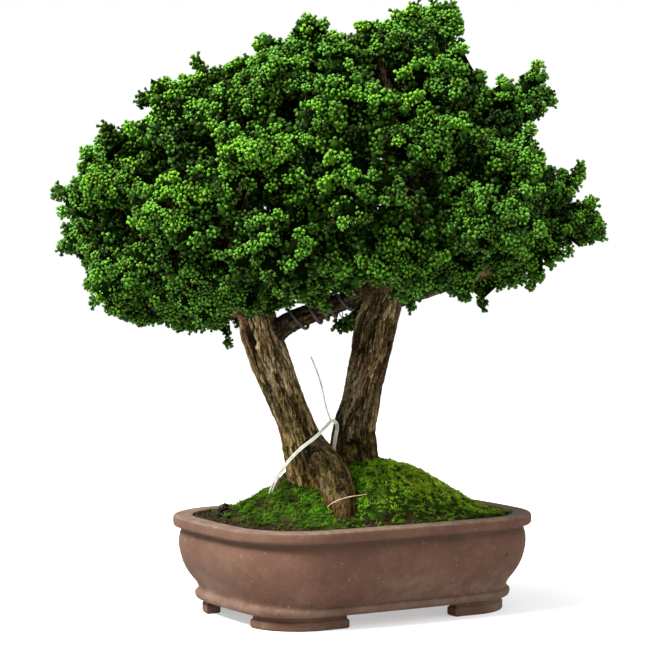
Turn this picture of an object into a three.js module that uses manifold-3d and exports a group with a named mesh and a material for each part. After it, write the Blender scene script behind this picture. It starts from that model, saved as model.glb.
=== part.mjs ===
// A twin-trunk hinoki cypress bonsai in an unglazed clay pot with four corner feet.
// Millimetres, +Z up. The pot's long side lies along X and its feet stand on Z = 0.
import * as THREE from "three";
import { mergeVertices } from "three/addons/utils/BufferGeometryUtils.js";
import Module from "manifold-3d";

const wasm = await Module();
wasm.setup();
const { Manifold } = wasm;
const { Vector3, Matrix4, MathUtils } = THREE;

// ---------------------------------------------------------------- driving dimensions
const CLEARANCE = 0.45; // free space left between two pieces that touch
const SEED = 71;

const POT_LENGTH = 330;
const POT_WIDTH = 238;
const POT_HEIGHT = 94;
const POT_CORNER_RADIUS = 78; // of the rim's outer edge, seen from above
const LEAST_CORNER_RADIUS = 10;
const POT_SIDE_BOW = 1.6; // how far each side bulges between its corners
const CORNER_STEPS = 5;
const FOOT_HEIGHT = 12.5;
const FOOT_INSET = 28;
const FOOT_THICKNESS = 14.5;
const FOOT_END_X = 59; // each foot runs round its corner, from here on the long side
const FOOT_END_Y = 43; // to here on the short side
const FOOT_ARC_STEPS = 4;
const FOOT_SUNK = 1; // into the pot's underside
const FLOOR_TOP = 21;
const DRAIN_RADIUS = 11;
const DRAIN_X = 72;
const DRAIN_SIDES = 12;
const SCREEN_SIDE = 36;
const SCREEN_THICKNESS = 1.4;
const SCREEN_SLOTS = [-9, -3, 3, 9];
const SLOT_WIDTH = 3.2;
const SLOT_LENGTH = 24;

// The pot's section as [inset from the rim's outer edge, height], up the outside and down the inside.
const OUTER_WALL = [
  [27, FOOT_HEIGHT],
  [21.6, 15],
  [20.8, 20],
  [24.2, 25.5],
  [14.6, 38],
  [7.4, 52],
  [5.3, 66],
  [7.6, 80.5],
  [1.6, 84],
  [0, 88],
  [1.2, 93],
];
const INNER_WALL = [
  [3.5, POT_HEIGHT],
  [19.5, POT_HEIGHT],
  [14.8, 68],
  [22, 42],
  [33, FLOOR_TOP],
];

const SOIL_EDGE = 88; // height of the soil along the rim
const MOUND_HEIGHT = 53; // of the soil mound over that
const MOUND_TOP = [22, 12]; // where the mound peaks, as [right, back]
const MOUND_SPREAD = { left: 118, right: 82, front: 100, back: 88 };
const MOUND_FALLOFF = 2.2; // how sharply the mound falls away once it has started to
const SOIL_INSET = 19.5 + CLEARANCE; // of its edge, from the rim's outer edge
const SOIL_RINGS = [1, 0.84, 0.64, 0.44, 0.24]; // shares of the way from the middle to the edge
// The soil's side as [inset from the rim's outer edge, height], up from the pot's floor.
const SOIL_WALL = [
  [34.2, FLOOR_TOP + CLEARANCE],
  [22.6, 42],
  [SOIL_INSET, 58],
  [SOIL_INSET, SOIL_EDGE - 5],
];
const MOSS_RINGS = [0.985, 0.84, 0.74, 0.64, 0.54, 0.44, 0.34, 0.24];
const MOSS_THICKNESS = 4.6;
const MOSS_EDGE_THICKNESS = 2.6;
const MOSS_RELIEF = 1.7; // how far its hummocks rise and dip
const HUMMOCK_SIZE = [6.1, 5.3];
const HUMMOCK_SWAY = [9.3, 11];
const MOSS_GAP = 0.35;

const TREE_TURN = 30.6; // degrees between the pot's long side and the tree's own front
const TRUNK_SIDES = 11;
const BARK_RIDGE = 1.3;
const ROOT_RIDGE = 0.9;

const TWIG_RADII = [4.8, 2.4]; // where it leaves the wood, and in its pad
const TWIG_OVERRUN = 4; // how far it runs on past the pad's middle
const TWIG_CLIMB_COST = 1.6; // what makes a twig leave the wood below its pad and not above it

const PAD_REACH = 64; // from a foliage pad's middle to its outer tips
const PAD_SIZES = [0.92, 1.08]; // of that, drawn for each pad
const PAD_JITTER = { angle: 0.1, ring: 9, height: 5 };
const PAD_FLATNESS = 0.8; // height of a pad over its width
const CORE_SHARE = 0.46; // of the reach
const SPRAYS_TRIED = 12; // directions tried round each pad
const INWARD_LIMIT = -0.2; // how far a spray may point back into the crown, as a cosine
const SPRAY_LENGTH = 0.74; // of the pad's reach
const SPRAY_WIDTH = 1.15; // of the length
const SPRAY_SIZES = [1, 0.86, 0.74, 0.62]; // tried in turn until one keeps clear of the other pads
const SPRAY_VARIATION = [0.92, 1.08]; // of each of those sizes
const SPRAY_TILT = 48; // degrees that a fan may lean to either side
const SPRAY_ROOM = [1.05, 1.06, 1.2]; // its free space, as shares of its length, width and thickness
const SPRAY_THICKNESS = 0.29; // of the length
const FAN_SPREAD = 62; // degrees from a fan's middle to its side lobes
const FOUR_LOBED_SHARE = 0.15; // of the fans, and the rest have three lobes
const FAN_DROOP = 0.14; // of its side lobes, as a share of its length
const LOBE_TIPS = [0.92, 1.06]; // how far its lobes reach, as shares of its length
const LOBE_VALLEY = 0.84; // how far the notches between them reach
const FAN_CREST = 0.56; // where it is thickest on its upper side
const FAN_BELLY = 0.5; // and on its lower side
const CROWN_DEPTH = 0.78; // front to back, as a share of the width

// The surface that the pads' middles lie on, as [height, middle, half width] from the bottom up.
const CROWN = [
  [308, -58, 118],
  [334, -44, 170],
  [352, -31, 206],
  [376, -28, 212],
  [410, -38, 194],
  [445, -37, 170],
  [475, -25, 148],
  [500, -2, 112],
  [520, 8, 76],
  [536, 11, 44],
  [546, 14, 0],
];
const PAD_COUNT = 47;
const FIRST_PAD_ANGLE = 2.4; // radians
const CROWN_TILT = 0.08; // of its lowest pads, as the rise from left to right
// Smaller pads that stand out: at the top, at the shoulders, at the right and behind the fork.
const TUFTS = [
  { right: 82, back: 14, up: 567, reach: 30 },
  { right: 166, back: -4, up: 498, reach: 38 },
  { right: -190, back: -30, up: 468, reach: 40 },
  { right: 214, back: -4, up: 374, reach: 36 },
  { right: -2, back: 60, up: 279, reach: 16 },
];
const NEIGHBOUR_DISTANCE = 3.2 * PAD_REACH; // further apart than this no two pads can meet
const GOLDEN_ANGLE = Math.PI * (3 - Math.sqrt(5));
// Only the left trunk carries low pads: right of here no pad's middle lies lower than this.
const LOW_PADS = { right: -62, height: 346 };

// ---------------------------------------------------------------- small tools
const turn = MathUtils.degToRad(TREE_TURN);

/** A point of the tree, from how far it is to the right, to the back and up, seen from its front. */
function seen(right, back, up) {
  const x = right * Math.cos(turn) + back * Math.sin(turn);
  const y = back * Math.cos(turn) - right * Math.sin(turn);
  return new Vector3(x, y, up);
}

/** Seeded random numbers from 0 to 1 (mulberry32). */
function randomSource(seed) {
  let state = seed >>> 0;
  return () => {
    state = (state + 0x6d2b79f5) >>> 0;
    let t = Math.imul(state ^ (state >>> 15), 1 | state);
    t = (t + Math.imul(t ^ (t >>> 7), 61 | t)) ^ t;
    return ((t ^ (t >>> 14)) >>> 0) / 2 ** 32;
  };
}
const random = randomSource(SEED);
const between = (low, high) => low + (high - low) * random();

/** The radius at a share of a length that has evenly spaced radii. */
function radiusAt(radii, share) {
  const place = share * (radii.length - 1);
  const below = Math.min(Math.floor(place), radii.length - 2);
  return MathUtils.lerp(radii[below], radii[below + 1], place - below);
}

/** A closed three.js geometry as a solid. */
function solidOf(geometry) {
  const bare = new THREE.BufferGeometry();
  bare.setAttribute("position", geometry.getAttribute("position"));
  bare.setIndex(geometry.index);
  const merged = mergeVertices(bare, 1e-4);
  const vertProperties = new Float32Array(merged.getAttribute("position").array);
  const triVerts = new Uint32Array(merged.index.array);
  return new Manifold(new wasm.Mesh({ numProp: 3, vertProperties, triVerts }));
}

/** A solid made from points and triangles. */
function solidFrom(points, triangles) {
  const geometry = new THREE.BufferGeometry().setFromPoints(points);
  geometry.setIndex(triangles);
  return solidOf(geometry);
}

/** A solid as a flat-shaded three.js mesh. */
function meshOf(solid, name, material) {
  const { numProp, vertProperties, triVerts } = solid.getMesh();
  const positions = new Float32Array((vertProperties.length / numProp) * 3);
  for (let i = 0; i < positions.length / 3; i++)
    positions.set(vertProperties.subarray(i * numProp, i * numProp + 3), i * 3);
  const geometry = new THREE.BufferGeometry();
  geometry.setAttribute("position", new THREE.BufferAttribute(positions, 3));
  geometry.setIndex(new THREE.BufferAttribute(new Uint32Array(triVerts), 1));
  const flat = geometry.toNonIndexed();
  flat.computeVertexNormals();
  const mesh = new THREE.Mesh(flat, material);
  mesh.name = name;
  return mesh;
}

/** The largest of a solid's separate bodies, without the scraps that a cut leaves. */
function largestBody(solid) {
  return solid.decompose().reduce((a, b) => (b.volume() > a.volume() ? b : a));
}

/** A closed skin over rings of points that all run the same way round, closed by a fan at each end. */
function skinOver(rings) {
  const count = rings[0].length;
  const points = rings.flat();
  const middle = (ring) => ring.reduce((sum, p) => sum.add(p), new Vector3()).divideScalar(count);
  const bottom = points.push(middle(rings[0])) - 1;
  const top = points.push(middle(rings.at(-1))) - 1;
  const triangles = [];
  for (let i = 0; i < count; i++) {
    const next = (i + 1) % count;
    triangles.push(bottom, next, i);
    for (let r = 0; r < rings.length - 1; r++) {
      const [a, b] = [r * count + i, r * count + next];
      triangles.push(a, b, a + count, b, b + count, a + count);
    }
    const lastRing = (rings.length - 1) * count;
    triangles.push(lastRing + i, lastRing + next, top);
  }
  return solidFrom(points, triangles);
}

/** A round or ridged tube through points, with a radius at each of its steps. */
function tube({ spine, radii, sides, steps, grow = 0, ridge = 0 }) {
  const curve = new THREE.CatmullRomCurve3(spine, false, "centripetal");
  const rings = [];
  let across = null;
  for (let s = 0; s <= steps; s++) {
    const share = s / steps;
    const along = curve.getTangent(share);
    if (!across) across = new Vector3(1, 0, 0).projectOnPlane(along).normalize();
    across = across.clone().projectOnPlane(along).normalize();
    const up = new Vector3().crossVectors(along, across);
    const radius = radiusAt(radii, share) + grow;
    const centre = curve.getPoint(share);
    // With room to spare round it, the tube also ends that much further out.
    if (s === 0) centre.addScaledVector(along, -grow);
    if (s === steps) centre.addScaledVector(along, grow);
    rings.push(
      Array.from({ length: sides }, (_, i) => {
        const angle = (2 * Math.PI * i) / sides;
        const bark = ridge * Math.sin(5 * angle + 0.5 * s) * Math.cos(3 * angle - 0.8 * s);
        const reach = radius + bark;
        return centre
          .clone()
          .addScaledVector(across, reach * Math.cos(angle))
          .addScaledVector(up, reach * Math.sin(angle));
      }),
    );
  }
  return skinOver(rings);
}

// ---------------------------------------------------------------- pot
/** The pot's outline at an inset from the rim's outer edge: quarter rounds joined by bowed sides. */
function potOutline(inset, height) {
  const [halfX, halfY] = [POT_LENGTH / 2 - inset, POT_WIDTH / 2 - inset];
  const radius = Math.max(POT_CORNER_RADIUS - inset, LEAST_CORNER_RADIUS);
  const points = [];
  for (let corner = 0; corner < 4; corner++) {
    const signX = corner === 0 || corner === 3 ? 1 : -1;
    const signY = corner < 2 ? 1 : -1;
    for (let i = 0; i <= CORNER_STEPS; i++) {
      const angle = (Math.PI / 2) * (corner + i / CORNER_STEPS);
      const x = signX * (halfX - radius) + radius * Math.cos(angle);
      const y = signY * (halfY - radius) + radius * Math.sin(angle);
      points.push(new Vector3(x, y, height));
    }
    const sideIsLong = corner % 2 === 0;
    const along = corner < 2 ? 1 : -1;
    const [bowX, bowY] = [-along * (halfX + POT_SIDE_BOW), along * (halfY + POT_SIDE_BOW)];
    points.push(sideIsLong ? new Vector3(0, bowY, height) : new Vector3(bowX, 0, height));
  }
  return points;
}

/** One foot: a block that follows its corner, from the long side to the short side. */
function potFoot(signX, signY) {
  const radius = POT_CORNER_RADIUS - FOOT_INSET;
  const centreX = POT_LENGTH / 2 - FOOT_INSET - radius;
  const centreY = POT_WIDTH / 2 - FOOT_INSET - radius;
  const edge = (depth) => {
    const reach = radius - depth;
    const lastAngle = Math.asin((FOOT_END_Y - centreY) / reach);
    const arc = Array.from({ length: FOOT_ARC_STEPS + 1 }, (_, i) => {
      const angle = MathUtils.lerp(Math.PI / 2, lastAngle, i / FOOT_ARC_STEPS);
      return [centreX + reach * Math.cos(angle), centreY + reach * Math.sin(angle)];
    });
    return [[FOOT_END_X, centreY + reach], ...arc];
  };
  const outline = [...edge(0), ...edge(FOOT_THICKNESS).reverse()];
  const shape = new THREE.Shape(outline.map(([x, y]) => new THREE.Vector2(signX * x, signY * y)));
  const depth = FOOT_HEIGHT + FOOT_SUNK;
  return solidOf(new THREE.ExtrudeGeometry(shape, { depth, bevelEnabled: false }));
}

function makePot() {
  const body = skinOver([...OUTER_WALL, ...INNER_WALL].map(([inset, z]) => potOutline(inset, z)));
  const feet = [1, -1].flatMap((x) => [1, -1].map((y) => potFoot(x, y)));
  const drains = [-DRAIN_X, DRAIN_X].map((x) => {
    const drill = new THREE.CylinderGeometry(DRAIN_RADIUS, DRAIN_RADIUS, 2 * FLOOR_TOP, DRAIN_SIDES);
    return solidOf(drill.rotateX(Math.PI / 2).translate(x, 0, FLOOR_TOP));
  });
  return Manifold.union([body, ...feet]).subtract(Manifold.union(drains));
}

/** An upright block between two corners. */
function block(low, high) {
  const size = new Vector3().subVectors(high, low);
  const centre = new Vector3().addVectors(high, low).multiplyScalar(0.5);
  return solidOf(new THREE.BoxGeometry(size.x, size.y, size.z).translate(centre.x, centre.y, centre.z));
}

/** A plastic screen that keeps the soil in over a drain hole. */
function makeDrainScreen(x) {
  const half = SCREEN_SIDE / 2;
  const bottom = FLOOR_TOP + CLEARANCE;
  const top = bottom + SCREEN_THICKNESS;
  const plate = block(new Vector3(x - half, -half, bottom), new Vector3(x + half, half, top));
  const slots = SCREEN_SLOTS.map((slotX) => {
    const low = new Vector3(x + slotX - SLOT_WIDTH / 2, -SLOT_LENGTH / 2, FLOOR_TOP);
    return block(low, new Vector3(low.x + SLOT_WIDTH, SLOT_LENGTH / 2, top + 1));
  });
  return plate.subtract(Manifold.union(slots));
}

// ---------------------------------------------------------------- soil and moss
/** Height of the soil at a point of the pot's own plan. */
function groundHeight(x, y) {
  const right = x * Math.cos(turn) - y * Math.sin(turn) - MOUND_TOP[0];
  const back = x * Math.sin(turn) + y * Math.cos(turn) - MOUND_TOP[1];
  const sideSpread = right < 0 ? MOUND_SPREAD.left : MOUND_SPREAD.right;
  const depthSpread = back < 0 ? MOUND_SPREAD.front : MOUND_SPREAD.back;
  const away = Math.hypot(right / sideSpread, back / depthSpread);
  return SOIL_EDGE + MOUND_HEIGHT * Math.exp(-(away ** MOUND_FALLOFF));
}

/** A ring of ground points at a share of the way to the pot's inner wall, raised by lift(x, y). */
function groundRing(share, lift) {
  return potOutline(SOIL_INSET, 0).map(({ x, y }) => {
    const [px, py] = [share * x, share * y];
    return new Vector3(px, py, groundHeight(px, py) + lift(px, py));
  });
}

/** The soil before anything is set into it, with its top raised by a lift. */
function soilBody(lift) {
  const wall = SOIL_WALL.map(([inset, z]) => potOutline(inset, z));
  return skinOver([...wall, ...SOIL_RINGS.map((share) => groundRing(share, () => lift))]);
}

/** Soil that fills the pot, heaped into a mound under the trunks. */
function makeSoil(hole) {
  const half = SCREEN_SIDE / 2 + CLEARANCE;
  const screenTop = FLOOR_TOP + SCREEN_THICKNESS + 2 * CLEARANCE;
  const screenRoom = [-DRAIN_X, DRAIN_X].map((x) =>
    block(new Vector3(x - half, -half, 0), new Vector3(x + half, half, screenTop)),
  );
  return largestBody(soilBody(0).subtract(Manifold.union([hole, ...screenRoom])));
}

/** A carpet of moss on the mound, thin at its edge and in hummocks by a formula. */
function makeMoss(hole) {
  const hummock = (x, y) => {
    const alongX = Math.sin(x / HUMMOCK_SIZE[0] + Math.cos(y / HUMMOCK_SWAY[0]));
    const alongY = Math.sin(y / HUMMOCK_SIZE[1] - Math.cos(x / HUMMOCK_SWAY[1]));
    return alongX * alongY;
  };
  const upper = MOSS_RINGS.map((share, ring) => {
    const thickness = ring === 0 ? MOSS_EDGE_THICKNESS : MOSS_THICKNESS;
    return groundRing(share, (x, y) => thickness + MOSS_RELIEF * hummock(x, y));
  });
  const edge = upper[0].map(({ x, y }) => new Vector3(x, y, SOIL_EDGE - MOSS_EDGE_THICKNESS));
  return largestBody(skinOver([edge, ...upper]).subtract(soilBody(MOSS_GAP)).subtract(hole));
}

// ---------------------------------------------------------------- wood
const LEFT_TRUNK = {
  spine: [
    seen(-31, -22, 112),
    seen(-39, -25, 135),
    seen(-46, -26, 156),
    seen(-53, -25, 176),
    seen(-64.5, -25, 205),
    seen(-76, -25, 234),
    seen(-86, -24, 262),
    seen(-95, -21, 292),
  ],
  radii: [30, 27, 23.2, 19.4, 17.8, 18.2, 20, 20.5, 17],
};
const RIGHT_TRUNK = {
  spine: [
    seen(-5, 14, 112),
    seen(0, 20, 138),
    seen(1, 22, 158),
    seen(2, 22, 177),
    seen(8, 22, 200),
    seen(12, 22, 222),
    seen(17, 22, 245),
    seen(21, 21, 268),
    seen(30, 20, 296),
  ],
  radii: [30, 27, 24, 21.5, 19.4, 18.6, 18.8, 19.6, 20.8, 20],
};
const LEFT_LEADER = {
  spine: [
    seen(-92, -22, 284),
    seen(-110, -14, 325),
    seen(-112, -6, 375),
    seen(-96, 0, 425),
    seen(-78, 0, 462),
  ],
  radii: [16.5, 13, 9.5, 6.5, 3],
};
const RIGHT_LEADER = {
  spine: [
    seen(29, 20, 290),
    seen(47, 18, 330),
    seen(58, 10, 380),
    seen(48, 5, 440),
    seen(34, 2, 500),
    seen(20, 0, 550),
  ],
  radii: [16, 13, 10.5, 8, 5.5, 2.6],
};
// The limb that leaves the left trunk to the right and carries the training wire.
const WIRED_LIMB = {
  spine: [
    seen(-84, -25, 262),
    seen(-58, -31, 281),
    seen(-32, -34, 291),
    seen(-4, -36, 302),
    seen(24, -42, 322),
    seen(58, -66, 346),
  ],
  radii: [11.5, 9.4, 8.4, 7.4, 6, 3.4],
};
const LIMB_RADII = [9, 6.5, 3.2];
const LIMBS = [
  { spine: [seen(-94, -20, 290), seen(-138, -22, 300), seen(-186, -8, 322)], radii: [11, 7.5, 3.6] },
  { spine: [seen(-92, -22, 286), seen(-118, -66, 300), seen(-132, -112, 322)], radii: LIMB_RADII },
  { spine: [seen(-98, -16, 300), seen(-128, 52, 316), seen(-146, 102, 336)], radii: LIMB_RADII },
  {
    spine: [seen(28, 20, 298), seen(78, 18, 313), seen(132, 12, 329), seen(176, 4, 350)],
    radii: [11.5, 9, 6.5, 3.4],
  },
  { spine: [seen(40, 16, 314), seen(92, -38, 330), seen(124, -92, 348)], radii: LIMB_RADII },
  { spine: [seen(36, 22, 304), seen(66, 78, 318), seen(82, 126, 344)], radii: LIMB_RADII },
  { spine: [seen(32, 22, 298), seen(-16, 78, 314), seen(-44, 124, 340)], radii: [8.5, 6, 3.2] },
];
const ROOTS = [
  {
    spine: [
      seen(-44, -28, 160),
      seen(-30, -36, 146),
      seen(-17, -52, 133),
      seen(-8.5, -71, 117),
      seen(-4, -92, 103),
      seen(-2, -108, 88),
    ],
    radii: [19, 18, 17.5, 17, 15.5, 12],
  },
  { spine: [seen(-46, -20, 132), seen(-68, -18, 113), seen(-86, -14, 100)], radii: [17, 13, 7] },
  { spine: [seen(6, 24, 142), seen(26, 26, 128), seen(46, 34, 112)], radii: [16, 12.5, 7] },
];

/** Every length of wood but the twigs, each as a call that makes it thicker by grow. */
const TIMBER = [
  (grow) => tube({ ...LEFT_TRUNK, sides: TRUNK_SIDES, steps: 9, ridge: BARK_RIDGE, grow }),
  (grow) => tube({ ...RIGHT_TRUNK, sides: TRUNK_SIDES, steps: 9, ridge: BARK_RIDGE, grow }),
  (grow) => tube({ ...LEFT_LEADER, sides: 6, steps: 4, grow }),
  (grow) => tube({ ...RIGHT_LEADER, sides: 6, steps: 5, grow }),
  (grow) => tube({ ...WIRED_LIMB, sides: 7, steps: 7, grow }),
  ...LIMBS.map((limb) => (grow) => tube({ ...limb, sides: 5, steps: 3, grow })),
  (grow) => tube({ ...ROOTS[0], sides: 8, steps: 5, ridge: ROOT_RIDGE, grow }),
  ...ROOTS.slice(1).map((root) => (grow) => tube({ ...root, sides: 6, steps: 2, grow })),
];

// Where twigs may leave a leader or a limb, as shares of its length.
const TWIG_PLACES = Array.from({ length: 20 }, (_, i) => 0.14 + 0.043 * i);

/** Points along the leaders and limbs where a twig may leave. */
function twigSites() {
  const carriers = [LEFT_LEADER, RIGHT_LEADER, WIRED_LIMB, ...LIMBS];
  return carriers.flatMap(({ spine }) => {
    const curve = new THREE.CatmullRomCurve3(spine, false, "centripetal");
    return TWIG_PLACES.map((share) => curve.getPoint(share));
  });
}

/** The twig that carries one pad, from the nearest wood below it to the pad's middle. */
function twigTo(pad, sites) {
  const climb = (site) => Math.max(0, site.z + 6 - pad.middle.z);
  const cost = (site) => site.distanceTo(pad.middle) + TWIG_CLIMB_COST * climb(site);
  const start = sites.reduce((best, site) => (cost(site) < cost(best) ? site : best));
  const end = pad.middle.clone().addScaledVector(pad.outward, TWIG_OVERRUN);
  return (grow) => tube({ spine: [start, end], radii: TWIG_RADII, sides: 3, steps: 1, grow });
}

// ---------------------------------------------------------------- foliage
const CROWN_HEART = seen(-20, 0, 400);

/** The pads, evenly spread over the crown's surface in one spiral from the bottom up. */
function layOutPads() {
  const bands = CROWN.slice(1).map((upper, i) => {
    const lower = CROWN[i];
    const [rise, widening] = [upper[0] - lower[0], upper[2] - lower[2]];
    const area = Math.hypot(rise, widening) * (upper[2] + lower[2]);
    return { lower, upper, rise, widening, area };
  });
  const area = bands.reduce((sum, band) => sum + band.area, 0);
  const pads = [];
  for (let i = 0; i < PAD_COUNT; i++) {
    let below = (area * (i + 0.5)) / PAD_COUNT;
    const band = bands.find((b) => {
      if (below < b.area) return true;
      below -= b.area;
      return false;
    });
    const share = below / band.area;
    const [height, middle, halfWidth] = band.lower.map((v, k) => MathUtils.lerp(v, band.upper[k], share));
    const angle = FIRST_PAD_ANGLE + i * GOLDEN_ANGLE + between(-PAD_JITTER.angle, PAD_JITTER.angle);
    const ring = halfWidth + between(-PAD_JITTER.ring, PAD_JITTER.ring);
    const right = middle + ring * Math.cos(angle);
    const back = CROWN_DEPTH * ring * Math.sin(angle);
    const tilt = CROWN_TILT * (1 - i / PAD_COUNT);
    const lowest = right > LOW_PADS.right ? LOW_PADS.height : 0;
    const level = Math.max(height + tilt * (right - middle), lowest);
    const up = level + between(-PAD_JITTER.height, PAD_JITTER.height);
    const [outRight, outBack] = [band.rise * Math.cos(angle), band.rise * Math.sin(angle)];
    const outward = seen(outRight, outBack, -band.widening).normalize();
    pads.push({ middle: seen(right, back, up), outward, reach: PAD_REACH * between(...PAD_SIZES) });
  }
  for (const { right, back, up, reach } of TUFTS) {
    const middle = seen(right, back, up);
    pads.push({ middle, outward: middle.clone().sub(CROWN_HEART).normalize(), reach });
  }
  // A pad whose core would meet the core of one before it is left out.
  const meets = (a, b) => a.middle.distanceTo(b.middle) < 1.02 * CORE_SHARE * (a.reach + b.reach);
  const kept = [];
  for (const pad of pads) if (!kept.some((other) => meets(pad, other))) kept.push(pad);
  return kept;
}

/** A small knobbly lump that the sprays of one pad stand out of. */
function padCore(pad) {
  const geometry = new THREE.OctahedronGeometry(CORE_SHARE * pad.reach, 0);
  geometry.rotateZ(between(0, 1.2));
  geometry.scale(between(0.9, 1.1), between(0.9, 1.1), PAD_FLATNESS * between(0.9, 1.1));
  return solidOf(geometry.translate(pad.middle.x, pad.middle.y, pad.middle.z));
}

/** One fan-shaped spray: a thin lens with a lobed edge, rooted at 0 and growing along +X. */
function sprayFan(lobes, length, width, thickness) {
  const spread = MathUtils.degToRad(FAN_SPREAD);
  const edge = [new Vector3(0, 0, 0)];
  const corners = 2 * lobes - 1;
  for (let i = 0; i < corners; i++) {
    const angle = spread * ((2 * i) / (corners - 1) - 1);
    const reach = length * (i % 2 === 0 ? between(...LOBE_TIPS) : LOBE_VALLEY);
    const y = (0.5 * width * reach * Math.sin(angle)) / (length * Math.sin(spread));
    const droop = -FAN_DROOP * length * Math.sin(angle) ** 2;
    edge.push(new Vector3(reach * Math.cos(angle), y, droop));
  }
  const upper = edge.length;
  const lower = upper + 1;
  const points = [
    ...edge,
    new Vector3(FAN_CREST * length, 0, thickness / 2),
    new Vector3(FAN_BELLY * length, 0, -thickness / 2),
  ];
  const triangles = edge.flatMap((_, i) => {
    const next = (i + 1) % edge.length;
    return [i, next, upper, next, i, lower];
  });
  const geometry = new THREE.BufferGeometry().setFromPoints(points);
  geometry.setIndex(triangles);
  return geometry;
}

/** Directions spread evenly over a sphere. */
function evenDirections(count, turned) {
  return Array.from({ length: count }, (_, i) => {
    const z = 1 - (2 * i + 1) / count;
    const radius = Math.sqrt(1 - z * z);
    const angle = GOLDEN_ANGLE * i + turned;
    return new Vector3(radius * Math.cos(angle), radius * Math.sin(angle), z);
  });
}

/** One spray of a pad, set into its core and growing towards a direction, with the room that it needs. */
function placeSpray(pad, towards, size) {
  const lobes = random() < FOUR_LOBED_SHARE ? 4 : 3;
  const length = size * SPRAY_LENGTH * pad.reach;
  const fan = sprayFan(lobes, length, SPRAY_WIDTH * length, SPRAY_THICKNESS * length);
  const level = new Vector3(0, 0, 1).cross(towards);
  if (level.lengthSq() < 0.05) level.set(1, 0, 0);
  const tilt = MathUtils.degToRad(between(-SPRAY_TILT, SPRAY_TILT));
  const side = level.projectOnPlane(towards).normalize().applyAxisAngle(towards, tilt);
  const face = new Vector3().crossVectors(towards, side);
  const tip = towards.clone().multiply(new Vector3(1, 1, PAD_FLATNESS)).multiplyScalar(pad.reach);
  const root = pad.middle.clone().add(tip).addScaledVector(towards, -length);
  const frame = new Matrix4().makeBasis(towards, side, face).setPosition(root);
  const larger = fan.clone().translate(-length / 2, 0, 0).scale(...SPRAY_ROOM).translate(length / 2, 0, 0);
  return { solid: solidOf(fan.applyMatrix4(frame)), room: solidOf(larger.applyMatrix4(frame)) };
}

const overlapsBox = (a, b) => a.min.every((low, i) => low < b.max[i] && b.min[i] < a.max[i]);

/** Whether a solid keeps clear of every solid in a list. */
function isClear(solid, others) {
  const box = solid.boundingBox();
  return others.every((o) => !overlapsBox(box, o.box) || solid.intersect(o.solid).isEmpty());
}

/** All the foliage pads as solids, none crossing another, with plain holes for the wood. */
function makeFoliage(pads, wood) {
  const parts = pads.map((pad) => [padCore(pad)].map((solid) => ({ solid, box: solid.boundingBox() })));
  const isNear = (a, b) => a !== b && a.middle.distanceTo(b.middle) < NEIGHBOUR_DISTANCE;
  const near = pads.map((pad) => pads.flatMap((other, j) => (isNear(pad, other) ? [j] : [])));
  const directions = pads.map((pad) =>
    evenDirections(SPRAYS_TRIED, between(0, 6)).filter((d) => d.dot(pad.outward) > INWARD_LIMIT),
  );
  for (let round = 0; round < SPRAYS_TRIED; round++) {
    pads.forEach((pad, i) => {
      const towards = directions[i][round];
      if (!towards) return;
      const others = near[i].flatMap((j) => parts[j]);
      for (const size of SPRAY_SIZES) {
        const { solid, room } = placeSpray(pad, towards, size * between(...SPRAY_VARIATION));
        if (!isClear(room, others)) continue;
        parts[i].push({ solid, box: solid.boundingBox() });
        break;
      }
    });
  }
  return parts.map((list) => largestBody(Manifold.union(list.map((part) => part.solid)).subtract(wood)));
}

// ---------------------------------------------------------------- wires
const WIRE_RADIUS = 1.1;
const STALK_RADIUS = 0.9;
const WIRE_SIDES = 4;
const TRAINING_WIRE_RADIUS = 1.8;
const TRAINING_WIRE_TURNS = 5;
const TRAINING_WIRE_STEPS = 7; // of each turn
const TRAINING_WIRE_REACH = [0.2, 0.66]; // the part of the limb that it is wound on, as shares
const TRAINING_WIRE_SLACK = 1.45; // between it and the limb

/** The pale tie wire: out of the moss, over the left trunk, back into the moss, with its free end up. */
function makeTieWire(grow = 0) {
  const loop = [
    seen(-78, -46, 98),
    seen(-77, -48, 115),
    seen(-74, -50, 130),
    seen(-63, -53, 147),
    seen(-50, -55, 161),
    seen(-37, -52.5, 171),
    seen(-27, -42, 180),
    seen(-20, -30, 185.5),
    seen(-15.5, -20, 180),
    seen(-17, -13, 168),
    seen(-19, -6, 152),
    seen(-19, -5, 141.5),
  ];
  const freeEnd = [
    seen(-21, -32, 184.5),
    seen(-25.5, -28, 197),
    seen(-30.5, -22, 219),
    seen(-35.5, -19, 234),
    seen(-40.5, -18, 246),
  ];
  return Manifold.union([
    tube({ spine: loop, radii: [WIRE_RADIUS, WIRE_RADIUS], sides: WIRE_SIDES, steps: 14, grow }),
    tube({ spine: freeEnd, radii: [WIRE_RADIUS, WIRE_RADIUS], sides: WIRE_SIDES, steps: 4, grow }),
  ]);
}

/** The dark training wire, wound round the limb between the two trunks. */
function makeTrainingWire() {
  const curve = new THREE.CatmullRomCurve3(WIRED_LIMB.spine, false, "centripetal");
  const steps = TRAINING_WIRE_TURNS * TRAINING_WIRE_STEPS;
  const spine = [];
  let across = new Vector3(0, 0, 1);
  for (let i = 0; i <= steps; i++) {
    const share = MathUtils.lerp(...TRAINING_WIRE_REACH, i / steps);
    const along = curve.getTangent(share);
    across = across.clone().projectOnPlane(along).normalize();
    const reach = radiusAt(WIRED_LIMB.radii, share) + TRAINING_WIRE_SLACK + TRAINING_WIRE_RADIUS;
    const around = across.clone().applyAxisAngle(along, (2 * Math.PI * i) / TRAINING_WIRE_STEPS);
    spine.push(curve.getPoint(share).addScaledVector(around, reach));
  }
  const radii = [TRAINING_WIRE_RADIUS, TRAINING_WIRE_RADIUS];
  return tube({ spine, radii, sides: WIRE_SIDES, steps });
}

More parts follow.
